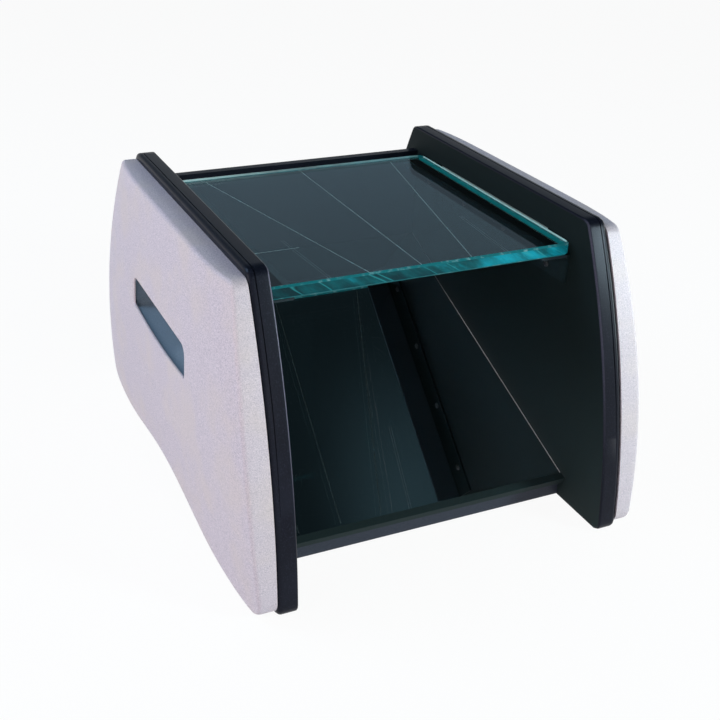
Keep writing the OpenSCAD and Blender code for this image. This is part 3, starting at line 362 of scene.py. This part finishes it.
finish = {
    "silver": silverPaint(),
    "lacquer": blackLacquer(),
    "cup": cupPlastic(),
    "glass": clearGlass(),
    "glassEdge": glassEdge(),
    "glassArris": glassArris(),
    "silvering": silvering(),
    "groundGlass": groundGlass(),
    "powder": powderCoat(),
    "innerBlack": innerBlack(),
    "rubber": plain("softRubber", (0.011, 0.016, 0.018), (0.007, 0.011, 0.012), 0.0012, 0.62, 0.00008,
                    Specular_IOR_Level=0.2),
    "board": plain("paintedBoard", (0.03, 0.03, 0.033), (0.017, 0.017, 0.02), 0.003, 0.55, 0.00008,
                   Specular_IOR_Level=0.25),
    "tube": plain("coatedTube", (0.86, 0.88, 0.86), (0.78, 0.81, 0.8), 0.01, 0.14, 0.000005,
                  Coat_Weight=0.5),
    "white": plain("holderPlastic", (0.74, 0.74, 0.71), (0.66, 0.66, 0.63), 0.0015, 0.38),
    "bright": plain("brightSheet", (0.8, 0.81, 0.82), (0.68, 0.69, 0.7), 0.004, 0.16, 0.00001,
                    Metallic=1.0),
    "enamel": plain("greyEnamel", (0.42, 0.44, 0.46), (0.34, 0.36, 0.38), 0.002, 0.36, 0.00005),
    "sheath": plain("leadSheath", (0.03, 0.03, 0.032), (0.018, 0.018, 0.02), 0.001, 0.5),
    "moulding": plain("blackMoulding", (0.026, 0.026, 0.029), (0.015, 0.015, 0.017), 0.0007, 0.4, 0.00006),
    "rocker": plain("rockerGloss", (0.02, 0.02, 0.022), (0.012, 0.012, 0.014), 0.002, 0.12, 0.000005,
                    Coat_Weight=0.7),
    "contact": plain("platedContact", (0.72, 0.69, 0.6), (0.58, 0.55, 0.48), 0.001, 0.22, 0.00001,
                     Metallic=1.0),
    "zinc": plain("zincPlate", (0.62, 0.62, 0.63), (0.46, 0.46, 0.48), 0.0012, 0.26, Metallic=1.0),
    "blackSteel": plain("blackenedSteel", (0.035, 0.036, 0.038), (0.02, 0.021, 0.023), 0.001, 0.35),
    # the front bar's blue-grey is lighter than the boards' black: partly its paint, partly painted light, as
    # the bar stands in shade under the mirror's edge
    "barPaint": plain("barPaint", (0.044, 0.049, 0.068), (0.024, 0.028, 0.040), 0.0014, 0.36, 0.00004,
                      Specular_IOR_Level=0.14),
    # the prints carry a faint painted glow (emission) that stands in for light reaching them under the glass
    "print": plain("linePrint", (0.46, 0.53, 0.53), (0.3, 0.38, 0.39), 0.0006, 0.5,
                   Emission_Color=(0.55, 0.66, 0.66), Emission_Strength=0.1),
    "printBack": plain("linePrintBack", (0.03, 0.055, 0.055), (0.02, 0.036, 0.038), 0.0006, 0.5,
                       Emission_Color=(0.4, 0.55, 0.55), Emission_Strength=0.02),
    "guide": plain("guidePrint", (0.06, 0.085, 0.095), (0.04, 0.06, 0.07), 0.0006, 0.5,
                   Emission_Color=(0.4, 0.55, 0.6), Emission_Strength=0.06),
}
print("finishes made:", len(finish))


# Mesh helpers: angles in degrees, the merge distance in metres

smoothing = {"merge": 0.000005, "flat": 0.6, "sharp": 35, "bevelSteps": 2}


def makeObject(name, mesh, *materials):
    piece = bpy.data.objects.new(name, mesh)
    bpy.context.scene.collection.objects.link(piece)
    for material in materials:
        mesh.materials.append(material)
    return piece


def softShade(mesh, sharpAngle):
    mesh.shade_smooth()
    mesh.set_sharp_from_angle(angle=math.radians(sharpAngle))


def meshFrom(name, points, faces, sharpAngle):
    mesh = bpy.data.meshes.new(name)
    mesh.from_pydata([tuple(p) for p in points], [], faces)
    mesh.validate()
    softShade(mesh, sharpAngle)
    mesh.update()
    return mesh


# Rings run counter-clockwise seen from the side they rise to
def loft(rings, closed, capped=False, flip=False):
    n = len(rings[0])
    points = np.concatenate(rings)
    faces = []
    for k in range(len(rings) if closed else len(rings) - 1):
        a, b = k * n, (k + 1) % len(rings) * n
        faces += [(a + i, a + (i + 1) % n, b + (i + 1) % n, b + i) for i in range(n)]
    if capped:
        last = (len(rings) - 1) * n
        faces.append(tuple(range(n - 1, -1, -1)))
        faces.append(tuple(range(last, last + n)))
    if flip:
        faces = [f[::-1] for f in faces]
    return points, faces


def settle(piece, body, materialSlot, *replaced):
    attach(piece, body)
    if replaced:
        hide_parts(*replaced)
    return piece


def plainMesh(piece):  # applies what modifiers there are
    done = bpy.data.meshes.new_from_object(piece.evaluated_get(bpy.context.evaluated_depsgraph_get()))
    piece.modifiers.clear()
    piece.data = done
    return piece


def cut(piece, low, high):  # takes a box out of a piece
    bm = bmesh.new()
    bmesh.ops.create_cube(bm, size=1)
    mesh = bpy.data.meshes.new("cutter")
    bm.to_mesh(mesh)
    bm.free()
    cutter = makeObject("cutter", mesh)
    cutter.scale = high - low
    cutter.location = (high + low) / 2
    step = piece.modifiers.new("cut", "BOOLEAN")
    step.solver = "EXACT"
    step.object = cutter
    bpy.context.view_layer.update()
    plainMesh(piece)
    bpy.data.objects.remove(cutter)


def smoothCopy(node, material, materialSlot, bevel=0.0, body=mainBody):
    bm = bmesh.new()
    bm.from_mesh(nodes[node].data)
    bmesh.ops.remove_doubles(bm, verts=bm.verts, dist=smoothing["merge"])
    bmesh.ops.dissolve_limit(bm, angle_limit=math.radians(smoothing["flat"]), verts=bm.verts, edges=bm.edges)
    mesh = bpy.data.meshes.new(node + "Smooth")
    bm.to_mesh(mesh)
    bm.free()
    softShade(mesh, smoothing["sharp"])
    piece = makeObject(node + "Smooth", mesh, material)
    if bevel:
        step = piece.modifiers.new("edges", "BEVEL")
        step.width = bevel
        step.segments = smoothing["bevelSteps"]
        step.limit_method = "ANGLE"
        step.angle_limit = math.radians(smoothing["sharp"])
        step.harden_normals = True
        plainMesh(piece)
    return settle(piece, body, materialSlot, node)


# Outlines in Y and Z, in millimetres: every point comes with its outward direction

board = {"innerX": 200, "thick": 25, "height": 374, "halfLow": 316, "halfTop": 214, "bow": 20.3,
         "topR": 12, "lowR": 11, "outerR": 6, "innerR": 2.5, "lift": 1.5, "shy": 0.04,
         "grooveAt": 16.3, "grooveDrift": 2.0, "grooveWidth": 1.3, "grooveDeep": 1.3, "grooveTaper": 0.6,
         "grooveFrom": 90, "grooveTo": 230}
cover = {"crown": 38, "topFall": 10.5, "sideFall": 10.5, "sidePower": 6, "crownZ": 170, "wall": 3, "edgeR": 6,
         "low": 3, "top": 365, "lowR": 18, "topR": 14, "archRise": 21, "archHalf": 205, "lowShare": 0.35}
handle = {"half": 110, "height": 46, "top": 240, "bow": 6, "topR": 13, "lowR": 5, "lip": 2.4}
fine = {"arcStep": 12, "arcLeast": 4, "curve": 900, "boardEdge": 9, "coverRim": 9, "coverFace": 30,
        "coverLip": 7, "coverInside": 12, "board": (90, 60, 90, 80), "cover": (110, 120, 110, 150),
        "sharp": 50}
chord = math.hypot(board["halfLow"] - board["halfTop"], board["height"])
edgeR = chord ** 2 / (8 * board["bow"]) + board["bow"] / 2  # the bowed front and rear edges are arcs
reach = (edgeR - board["bow"]) / chord
edgeY = (board["halfLow"] + board["halfTop"]) / 2 - reach * board["height"]
edgeZ = board["height"] / 2 - reach * (board["halfLow"] - board["halfTop"])


def halfAt(z):  # half the board's length at a height
    return edgeY + np.sqrt(edgeR ** 2 - (z - edgeZ) ** 2)


def quarter(count):
    return np.radians(np.linspace(0, 90, count))


def arcPart(y, z, r, start, stop):
    count = max(fine["arcLeast"], int(abs(stop - start) * r / fine["arcStep"]))
    a = np.radians(np.linspace(start, stop, count))
    out = np.stack([np.cos(a), np.sin(a)], 1)
    return np.array([y, z]) + r * out, out


def curvePart(y0, y1, height, above):  # a stretch of z = height(y) whose outward side is above or below
    y = np.linspace(y0, y1, fine["curve"])
    z = height(y)
    slope = np.gradient(z, y)
    out = np.stack([-slope, np.ones_like(y)], 1) * (1 if above else -1)
    return np.stack([y, z], 1), out / np.linalg.norm(out, axis=1)[:, None]


def linePart(start, stop, out):
    return np.array([start, stop], float), np.array([out, out], float)


def mirrorParts(parts):
    return [(p[::-1] * (-1, 1), n[::-1] * (-1, 1)) for p, n in parts[::-1]]


def sample(parts, count):  # even steps along the parts, without the last point
    p, n = (np.concatenate([part[i] for part in parts]) for i in (0, 1))
    s = np.concatenate([[0], np.cumsum(np.linalg.norm(np.diff(p, axis=0), axis=1))])
    t = np.linspace(0, s[-1], count + 1)[:-1]
    place = np.stack([np.interp(t, s, p[:, i]) for i in (0, 1)], 1)
    out = np.stack([np.interp(t, s, n[:, i]) for i in (0, 1)], 1)
    return place, out / np.linalg.norm(out, axis=1)[:, None]


def closeOutline(rear, topCorner, top, lowCorner, bottom, counts):  # the front half mirrors the rear half
    runs = [rear, [topCorner, top] + mirrorParts([topCorner]), mirrorParts(rear),
            mirrorParts([lowCorner]) + [bottom, lowCorner]]
    sampled = [sample(run, count) for run, count in zip(runs, counts)]
    return tuple(np.concatenate([s[i] for s in sampled]) for i in (0, 1))


# Runs from the middle of the rear bottom corner, up and round
def sideOutline(low, top, lowR, topR, bottom, counts):
    corners = []
    for z, r in ((low + lowR, lowR), (top - topR, topR)):
        y = edgeY + math.sqrt((edgeR - r) ** 2 - (z - edgeZ) ** 2)
        corners.append((y, z, math.degrees(math.asin((z - edgeZ) / (edgeR - r)))))
    (lowY, lowZ, lowTip), (topY, topZ, topTip) = corners
    lowMid, topMid = (lowTip - 90) / 2, (topTip + 90) / 2
    rear = [arcPart(lowY, lowZ, lowR, lowMid, lowTip), arcPart(edgeY, edgeZ, edgeR, lowTip, topTip),
            arcPart(topY, topZ, topR, topTip, topMid)]
    return closeOutline(rear, arcPart(topY, topZ, topR, topMid, 90),
                        curvePart(topY, -topY, lambda y: y * 0 + top, True),
                        arcPart(lowY, lowZ, lowR, -90, lowMid), curvePart(-lowY, lowY, bottom, False), counts)


def archHeight(y):
    return cover["low"] + np.where(abs(y) < cover["archHalf"],
                                   cover["archRise"] * np.cos(np.radians(90 * y / cover["archHalf"])) ** 2, 0)


def handleOutline(counts):
    s = handle
    bowR = s["half"] ** 2 / (2 * s["bow"]) + s["bow"] / 2
    bowZ = s["top"] - s["height"] + bowR
    lowY, upY = s["half"] - s["lowR"], s["half"] - s["topR"]
    lowZ = bowZ - math.sqrt((bowR - s["lowR"]) ** 2 - lowY ** 2)
    tip = math.degrees(math.asin(lowY / (bowR - s["lowR"]))) - 90
    upZ = s["top"] - s["topR"]
    rear = [arcPart(lowY, lowZ, s["lowR"], tip / 2, 0), linePart((s["half"], lowZ), (s["half"], upZ), (1, 0)),
            arcPart(upY, upZ, s["topR"], 0, 45)]
    return closeOutline(rear, arcPart(upY, upZ, s["topR"], 45, 90),
                        linePart((upY, s["top"]), (-upY, s["top"]), (0, 1)),
                        arcPart(lowY, lowZ, s["lowR"], tip, tip / 2),
                        arcPart(0, bowZ, bowR, -180 - tip, tip), counts)


def crownAt(p):  # how far the cover's face stands out from the board
    y, z = p[:, 0], p[:, 1]
    sideFall = cover["sideFall"] * (abs(y) / halfAt(z)) ** cover["sidePower"]
    topFall = cover["topFall"] * ((z - cover["crownZ"]) / (cover["top"] - cover["crownZ"])) ** 2
    return cover["crown"] - sideFall - topFall - board["shy"]


def ringAt(p, x, sign):  # a loop in the row frame, x above the board's outer face
    base = board["innerX"] + board["thick"]
    x = np.broadcast_to(x, len(p))
    return np.stack([sign * (base + x), p[:, 0], p[:, 1] + board["lift"]], 1) * mm


# Outer covers: one closed skin that runs round the rim, over the crowned face, through the opening
# and back inside

def makeCover(side, sign):
    p, out = sideOutline(cover["low"], cover["top"], cover["lowR"], cover["topR"], archHeight, fine["cover"])
    p = p - board["shy"] * out
    hole, holeOut = handleOutline(fine["cover"])
    r, wall, lip = cover["edgeR"], cover["wall"], handle["lip"]
    share = 1 - (1 - cover["lowShare"]) * np.clip(-out[:, 1:], 0, 1) ** 2  # crisper along the bottom
    inset = r * out * share
    edge = p - inset
    edgeX = crownAt(edge)
    lipStart = hole + lip * holeOut
    lipX = crownAt(lipStart)
    inner = p - wall * out
    rings = [ringAt(p, 0, sign)]
    for a in quarter(fine["coverRim"])[:-1]:
        rings.append(ringAt(p - (1 - math.cos(a)) * inset, edgeX - r * (1 - math.sin(a)), sign))
    for t in np.linspace(0, 1, fine["coverFace"]):
        q = edge * (1 - t) + lipStart * t
        rings.append(ringAt(q, crownAt(q), sign))
    for a in quarter(fine["coverLip"])[1:]:
        q = hole + lip * (1 - math.sin(a)) * holeOut
        rings.append(ringAt(q, lipX - lip * (1 - math.cos(a)), sign))
    for t in np.linspace(1, 0, fine["coverInside"]):
        q = edge * (1 - t) + hole * t
        rings.append(ringAt(q, crownAt(q) - wall, sign))
    rings += [ringAt(inner, edgeX - r, sign), ringAt(inner, 0, sign)]
    points, faces = loft(rings, True, flip=sign < 0)
    name = side + "CoverShell"
    piece = makeObject(name, meshFrom(name, points, faces, fine["sharp"]), finish["silver"])
    return settle(piece, mainBody, "cover_shell", side + "_cover")


# Side frames: rounded boards with the light window and the lamp pocket cut in

lampCut = {"glassMid": 333.5, "windowH": 13, "windowLen": 280, "pocketH": 24, "pocketLen": 318,
           "pocketDepth": 15, "past": 5}


def makeBoard(side, sign):
    p, out = sideOutline(0, board["height"], board["lowR"], board["topR"], lambda y: y * 0, fine["board"])
    p = p - board["shy"] * out
    thick = board["thick"]
    innerArc, outerArc = ([(r * (1 - math.cos(a)), r * (1 - math.sin(a))) for a in quarter(fine["boardEdge"])]
                          for r in (board["innerR"], board["outerR"]))
    rise = np.clip((p[:, 1] - board["grooveFrom"]) / (board["grooveTo"] - board["grooveFrom"]), 0, 1)
    x = board["grooveAt"] + board["grooveDrift"] * (1 - rise)
    half, deep = board["grooveWidth"] / 2, (board["grooveDeep"] * rise)[:, None]
    flat = half * board["grooveTaper"]
    groove = [(x - half, 0), (x - flat, deep), (x + flat, deep), (x + half, 0)]
    profile = innerArc + groove + [(thick - x, inset) for x, inset in outerArc[::-1]]
    rings = [ringAt(p - inset * out, x - thick, sign) for x, inset in profile]
    points, faces = loft(rings, False, capped=True, flip=sign < 0)
    mesh = meshFrom(side + "Board", points, faces, fine["sharp"])
    piece = makeObject(side + "Board", mesh, finish["lacquer"], finish["innerBlack"])
    mesh.polygons[-2].material_index = 1  # the inner cap is matt
    c = lampCut
    innerX, outerX = board["innerX"], board["innerX"] + thick
    window = (innerX - c["past"], outerX - c["past"], c["windowLen"], c["windowH"])
    pocket = (outerX - c["pocketDepth"], outerX + c["past"], c["pocketLen"], c["pocketH"])
    for x0, x1, length, height in (window, pocket):
        low, high = sorted((sign * x0, sign * x1))
        cut(piece, Vector((low, -length / 2, c["glassMid"] - height / 2)) * mm,
            Vector((high, length / 2, c["glassMid"] + height / 2)) * mm)
    piece.data.set_sharp_from_angle(angle=math.radians(fine["sharp"]))
    return settle(piece, mainBody, "frame_board", side + "_side_frame")


for side, sign in (("left", -1), ("right", 1)):
    makeCover(side, sign)
    makeBoard(side, sign)
    smoothCopy(side + "_handle_cup", finish["cup"], "handle_cup")
    smoothCopy(side + "_glass_ledge", finish["powder"], "ledge_metal", bevel=0.0004)
print("covers and side frames made")


# Standing glass: bevelled plate with round corners, lofted upwards in Z

plate = {"halfX": 197, "front": -195, "rear": 178, "low": 325.5, "top": 341.5, "bevel": 2.3, "cornerR": 11,
         "rim": 8, "rimFrom": 188, "sharp": 30}


def plateLoop(x0, x1, y0, y1, r, inset, cornerCount=10):
    points = []
    corners = ((x1 - r, y0 + r, -90), (x1 - r, y1 - r, 0), (x0 + r, y1 - r, 90), (x0 + r, y0 + r, 180))
    for cx, cy, start in corners:
        for a in np.radians(np.linspace(start, start + 90, cornerCount)):
            points.append((cx + (r - inset) * math.cos(a), cy + (r - inset) * math.sin(a)))
    return np.array(points)


def plateRings(levels, *box):  # a level is a height and how far the loop is drawn in there
    rings = []
    for z, inset in levels:
        loop = plateLoop(*box, inset)
        rings.append(np.concatenate([loop, np.full((len(loop), 1), z)], 1) * mm)
    return rings


def makePlate(s):
    levels = [(s["low"], s["bevel"] + s["rim"]), (s["low"], s["bevel"]), (s["low"] + s["bevel"], 0),
              (s["top"] - s["bevel"], 0), (s["top"], s["bevel"])]
    rings = plateRings(levels, -s["halfX"], s["halfX"], s["front"], s["rear"], s["cornerR"])
    points, faces = loft(rings, False, capped=True)
    mesh = meshFrom("standingGlass", points, faces, s["sharp"])
    piece = makeObject("standingGlass", mesh, finish["glass"], finish["glassEdge"], finish["glassArris"])
    n = len(rings[0])
    for i, face in enumerate(mesh.polygons):  # underside rim, lower bevel, side, upper bevel, then both caps
        rim = 1 if face.center.x > s["rimFrom"] * mm else 0  # painted light: near the right side edge the underside rim takes the glowing edge finish
        face.material_index = (rim, 2, 1, 2)[i // n] if i < 4 * n else 0
    return settle(piece, glassBody, "standing_glass", "glass_plate")


makePlate(plate)

# Printed under the glass: a line down the middle, a short cross line, two splayed lines with ticks,
# and pairs of guide lines

lines = {"gap": 0.15, "thick": 0.05, "width": 1.1, "front": -186, "rear": 169, "crossY": -88,
         "crossX": (-168, -112), "splay": 12, "splayX": 86, "guideX": (112, 121), "guideY": (-190, -60),
         "guideGap": 3.4, "guideWidth": 0.7, "tickGap": 10, "tickLen": 7, "tickWidth": 0.7, "sharp": 30}


def makeLine(name, start, stop, width, *looks):
    a, b = Vector((*start, 0)), Vector((*stop, 0))
    along = (b - a).normalized()
    across = Vector((-along.y, along.x, 0)) * width / 2
    z = plate["low"] - lines["gap"]
    corners = [a - across, b - across, b + across, a + across]
    points = [(c.x * mm, c.y * mm, (z - t) * mm) for t in (lines["thick"], 0) for c in corners]
    faces = [(3, 2, 1, 0), (4, 5, 6, 7)] + [(i, (i + 1) % 4, (i + 1) % 4 + 4, i + 4) for i in range(4)]
    mesh = meshFrom(name, points, faces, lines["sharp"])
    piece = makeObject(name, mesh, *looks)
    mesh.polygons[0].material_index = len(looks) - 1  # the side that the mirror sees
    return settle(piece, glassBody, "standing_glass")


def tickTree():  # geometry nodes: short strokes at even steps between two points
    tree = bpy.data.node_groups.new("ticks", "GeometryNodeTree")
    tree.is_modifier = True
    ports = {}
    for label, kind in (("Geometry", "Geometry"), ("Start", "Vector"), ("Stop", "Vector"), ("Count", "Int"),
                        ("Length", "Float"), ("Width", "Float"), ("Thickness", "Float"), ("Turn", "Float")):
        port = tree.interface.new_socket(label, in_out="INPUT", socket_type="NodeSocket" + kind)
        ports[label] = port.identifier
    tree.interface.new_socket("Geometry", in_out="OUTPUT", socket_type="NodeSocketGeometry")
    given = tree.nodes.new("NodeGroupInput").outputs

    def add(kind, values, **settings):
        made = tree.nodes.new(kind)
        for key, value in settings.items():
            setattr(made, key, value)
        for key, value in values.items():
            if isinstance(value, bpy.types.NodeSocket):
                tree.links.new(value, made.inputs[key])
            else:
                made.inputs[key].default_value = value
        return made.outputs[0]

    row = add("GeometryNodeMeshLine", {"Count": given["Count"], "Start Location": given["Start"],
                                       "Offset": given["Stop"]}, mode="END_POINTS")
    size = add("ShaderNodeCombineXYZ", {"X": given["Length"], "Y": given["Width"], "Z": given["Thickness"]})
    stroke = add("GeometryNodeMeshCube", {"Size": size})
    turn = add("ShaderNodeCombineXYZ", {"Z": given["Turn"]})
    spread = add("GeometryNodeInstanceOnPoints", {"Points": row, "Instance": stroke, "Rotation": turn})
    real = add("GeometryNodeRealizeInstances", {"Geometry": spread})
    paint = add("GeometryNodeSetMaterial", {"Geometry": real, "Material": finish["printBack"]})
    tree.links.new(paint, tree.nodes.new("NodeGroupOutput").inputs[0])
    return tree, ports


ticks, tickPorts = tickTree()


def makeTicks(name, start, stop):
    piece = makeObject(name, bpy.data.meshes.new(name))
    step = piece.modifiers.new("ticks", "NODES")
    step.node_group = ticks
    z = (plate["low"] - lines["gap"] - lines["thick"] / 2) * mm
    dx, dy = stop[0] - start[0], stop[1] - start[1]
    values = {"Start": (start[0] * mm, start[1] * mm, z), "Stop": (stop[0] * mm, stop[1] * mm, z),
              "Count": int(math.hypot(dx, dy) / lines["tickGap"]) + 1, "Length": lines["tickLen"] * mm,
              "Width": lines["tickWidth"] * mm, "Thickness": lines["thick"] * mm,
              "Turn": math.atan2(dy, dx) - math.pi / 2}
    for label, value in values.items():
        step[tickPorts[label]] = value
    plainMesh(piece)
    return settle(piece, glassBody, "standing_glass")


def makeLines(s):
    looks = (finish["print"], finish["printBack"])
    makeLine("centreLine", (0, s["front"]), (0, s["rear"]), s["width"], *looks)
    makeLine("heelLine", *((x, s["crossY"]) for x in s["crossX"]), s["width"], *looks)
    lean = math.tan(math.radians(s["splay"]))
    for side, sign in (("left", -1), ("right", 1)):
        for k in (0, 1):
            guide = [(sign * (x + k * s["guideGap"]), y) for x, y in zip(s["guideX"], s["guideY"])]
            makeLine(side + "GuideLine" + str(k), *guide, s["guideWidth"], finish["guide"])
        (x0, y0), (x1, y1) = ((sign * (s["splayX"] + lean * (y - s["crossY"])), y)
                              for y in (s["front"], s["rear"]))
        makeLine(side + "FootLine", (x0, y0), (x1, y1), s["width"], *looks)
        inset = s["tickGap"] / math.hypot(x1 - x0, y1 - y0)
        ends = [((1 - t) * x0 + t * x1, (1 - t) * y0 + t * y1) for t in (inset, 1 - inset)]
        makeTicks(side + "FootTicks", *ends)


makeLines(lines)
print("glass and its printed lines made")


# Mirror: silvered face, ground bevels and edges, in a frame that climbs the slope

mirror = {"front": -241, "z": 35.5, "angle": 21, "length": 464.03, "halfX": 198.5, "thick": 4, "bevel": 1.6,
          "backBevel": 0.3, "cornerR": 1.5, "sharp": 20}
trim = {"overlap": 9.5, "wall": 0.5, "halfX": 198, "drop": 4, "soft": 0.15, "gap": 0.02, "sharp": 30}


def climb(points):  # from the mirror's own plane to the row frame
    turn = Matrix.Translation((0, mirror["front"] * mm, mirror["z"] * mm))
    turn = turn @ Matrix.Rotation(math.radians(mirror["angle"]), 4, "X")
    return [turn @ Vector(p) for p in points]


def makeMirror(s):
    back, bevel = s["backBevel"], s["bevel"]
    levels = [(-s["thick"], back), (-s["thick"] + back, 0), (-bevel, 0), (0, bevel)]
    rings = plateRings(levels, -s["halfX"], s["halfX"], 0, s["length"], s["cornerR"])
    points, faces = loft(rings, False, capped=True)
    points = climb(points)
    mesh = meshFrom("mirrorPane", points, faces, s["sharp"])
    piece = makeObject("mirrorPane", mesh, finish["groundGlass"], finish["silvering"], finish["board"])
    for face in mesh.polygons:
        low = all(points[v].y < (s["front"] + 2 * bevel) * mm for v in face.vertices)
        face.material_index = 1 if len(face.vertices) > 4 and face.normal.z > 0 else 2 if low else 0
    return settle(piece, mainBody, "mirror", "mirror_glass")


def makeMirrorTrim(s):  # a folded strip over the mirror's front edge, its section in the mirror's plane
    over, w, b, gap, drop = (s[key] for key in ("overlap", "wall", "soft", "gap", "drop"))
    section = [(over, gap), (over, w - b), (over - b, w), (b - w, w), (-w, w - b), (-w, -drop), (-gap, -drop),
               (-gap, gap)]
    rings = [np.array([Vector((x, y, z)) * mm for y, z in section]) for x in (-s["halfX"], s["halfX"])]
    points, faces = loft(rings, False, capped=True)
    mesh = meshFrom("mirrorTrim", climb(points), faces, s["sharp"])
    return settle(makeObject("mirrorTrim", mesh, finish["innerBlack"]), mainBody, "rubber")


makeMirror(mirror)
makeMirrorTrim(trim)
smoothCopy("front_bar", finish["barPaint"], "frame_board", bevel=0.0006)
smoothCopy("rear_panel", finish["lacquer"], "frame_board", bevel=0.0008)
smoothCopy("mirror_board", finish["innerBlack"], "backing_wood", bevel=0.0005)
smoothCopy("base_panel", finish["board"], "frame_board", bevel=0.0004)
print("mirror and panels made")

# Small parts keep their modelled shapes, with merged, smooth surfaces and their own finishes

smallParts = {
    "left_lamp_tube": "tube", "right_lamp_tube": "tube",
    "left_lamp_holders": "white", "right_lamp_holders": "white",
    "left_reflector": "bright", "right_reflector": "bright",
    "ballast": "enamel",
    "left_lamp_lead": "sheath", "right_lamp_lead": "sheath", "mains_lead": "sheath",
    "lead_clips": "moulding", "power_inlet": "moulding", "inlet_pins": "contact",
    "frame_bolts": "zinc", "cover_screws": "zinc", "cup_screws": "zinc",
    "ledge_screws": "blackSteel", "rail_screws": "blackSteel",
    "ballast_screws": "zinc", "inlet_screws": "zinc",
    "floor_pads": "rubber", "left_glass_strip": "rubber", "right_glass_strip": "rubber",
    "left_mirror_rail": "board", "right_mirror_rail": "board",
    "fuse_drawer": "moulding", "fuse": "contact", "switch_rocker": "rocker",
}
slotOf = {s["node"]: s["material_slot"] for s in record["subparts"]}
bodyOf = {node: body for body, members in record["behaviour"]["bodies"].items() for node in members}
for node, look in smallParts.items():
    smoothCopy(node, finish[look], slotOf[node], body=bodyOf[node])
print("small parts made:", len(smallParts))


# Studio: a white floor and horizon, a dark ceiling that the mirror and the glass look up at, and soft lamps

studio = {"floor": (0.90, 0.90, 0.91), "floorShade": (0.83, 0.83, 0.84), "cloud": 0.4, "cloudShare": 0.1,
          "floorSize": 40, "white": 0.94,
          "sky": ((0.17, (1, 1, 1)), (0.26, (0.16, 0.22, 0.28)), (0.48, (0.15, 0.2, 0.25)),
                  (0.66, (0.010, 0.014, 0.016)), (0.83, (0.006, 0.010, 0.012))),
          "overhead": (0.025, 0.042, 0.051), "overheadX": (0.33, 0.42), "overheadY": (0.13, 0.31),
          "overheadZ": (0.70, 0.85)}


def makeFloor(s):
    bm = bmesh.new()
    bmesh.ops.create_grid(bm, x_segments=1, y_segments=1, size=s["floorSize"])
    mesh = bpy.data.meshes.new("floor")
    bm.to_mesh(mesh)
    bm.free()
    f = Finish("paleFloor", Roughness=0.9)
    f.put("Base Color", f.mix(f.noise(s["cloud"]) * s["cloudShare"], s["floor"], s["floorShade"]))
    rays = ("Is Camera Ray", "Is Glossy Ray", "Is Transmission Ray")
    camera, glossy, through = (f.node("ShaderNodeLightPath", out=ray) for ray in rays)
    share = (camera + glossy + through).between(0, 1) * s["white"]
    glow = f.node("ShaderNodeEmission", values={"Color": (1.0, 1.0, 1.0), "Strength": 1.0})
    both = f.node("ShaderNodeMixShader", values={0: share, 1: Wire(f, f.shader.outputs[0]), 2: glow})
    f.join(both, f.find("OUTPUT_MATERIAL").inputs["Surface"])
    makeObject("floor", mesh, f.material)


def makeSky(s):
    world = bpy.data.worlds.new("studio")
    bpy.context.scene.world = world
    world.use_nodes = True
    sky = ShaderTree(world.node_tree)
    way = sky.node("ShaderNodeTexCoord", out="Generated")
    x, y, z = (sky.node("ShaderNodeSeparateXYZ", values={"Vector": way}, out=axis) for axis in "XYZ")
    share = x.between(*s["overheadX"]) * (1 - y.between(*s["overheadY"])) * z.between(*s["overheadZ"])
    sky.join(sky.mix(share, sky.ramp(z, *s["sky"]), s["overhead"]), sky.find("BACKGROUND").inputs["Color"])


lamps = {
    "frontLamp": {"place": (-0.2, -2.8, 1.0), "target": (0, 0, 0.15), "size": (2.0, 1.4), "power": 14,
                  "color": (0.96, 0.97, 1.0)},
    "leftLamp": {"place": (-2.6, -0.7, 1.1), "target": (0, 0, 0.2), "size": (1.8, 1.6), "power": 31,
                 "color": (1, 0.93, 0.93)},
    "topLamp": {"place": (-1.8, 0.9, 2.3), "target": (0, 0, 0.2), "size": (1.2, 1.2), "power": 42,
                "color": (0.50, 0.75, 1.0)},
    "rightLamp": {"place": (2.0, -2.35, 1.36), "target": (0, 0, 0.2), "size": (0.62, 0.62), "power": 63,
                  "color": (0.77, 1.0, 1.0)},
    "sideLamp": {"place": (2.35, -0.72, 0.26), "target": (0, -0.1, 0.2), "size": (0.9, 0.5), "power": 22,
                 "color": (0.80, 1.0, 0.97)},
}


def makeLamp(name, s):
    light = bpy.data.lights.new(name, "AREA")
    light.shape = "RECTANGLE"
    light.size, light.size_y = s["size"]
    light.energy = s["power"]
    light.color = s["color"]
    lamp = bpy.data.objects.new(name, light)
    lamp.location = s["place"]
    lamp.rotation_euler = (Vector(s["target"]) - Vector(s["place"])).to_track_quat("-Z", "Y").to_euler()
    bpy.context.scene.collection.objects.link(lamp)


makeFloor(studio)
makeSky(studio)
for name, values in lamps.items():
    makeLamp(name, values)
bpy.context.scene.view_settings.view_transform = "Standard"
print("studio made")
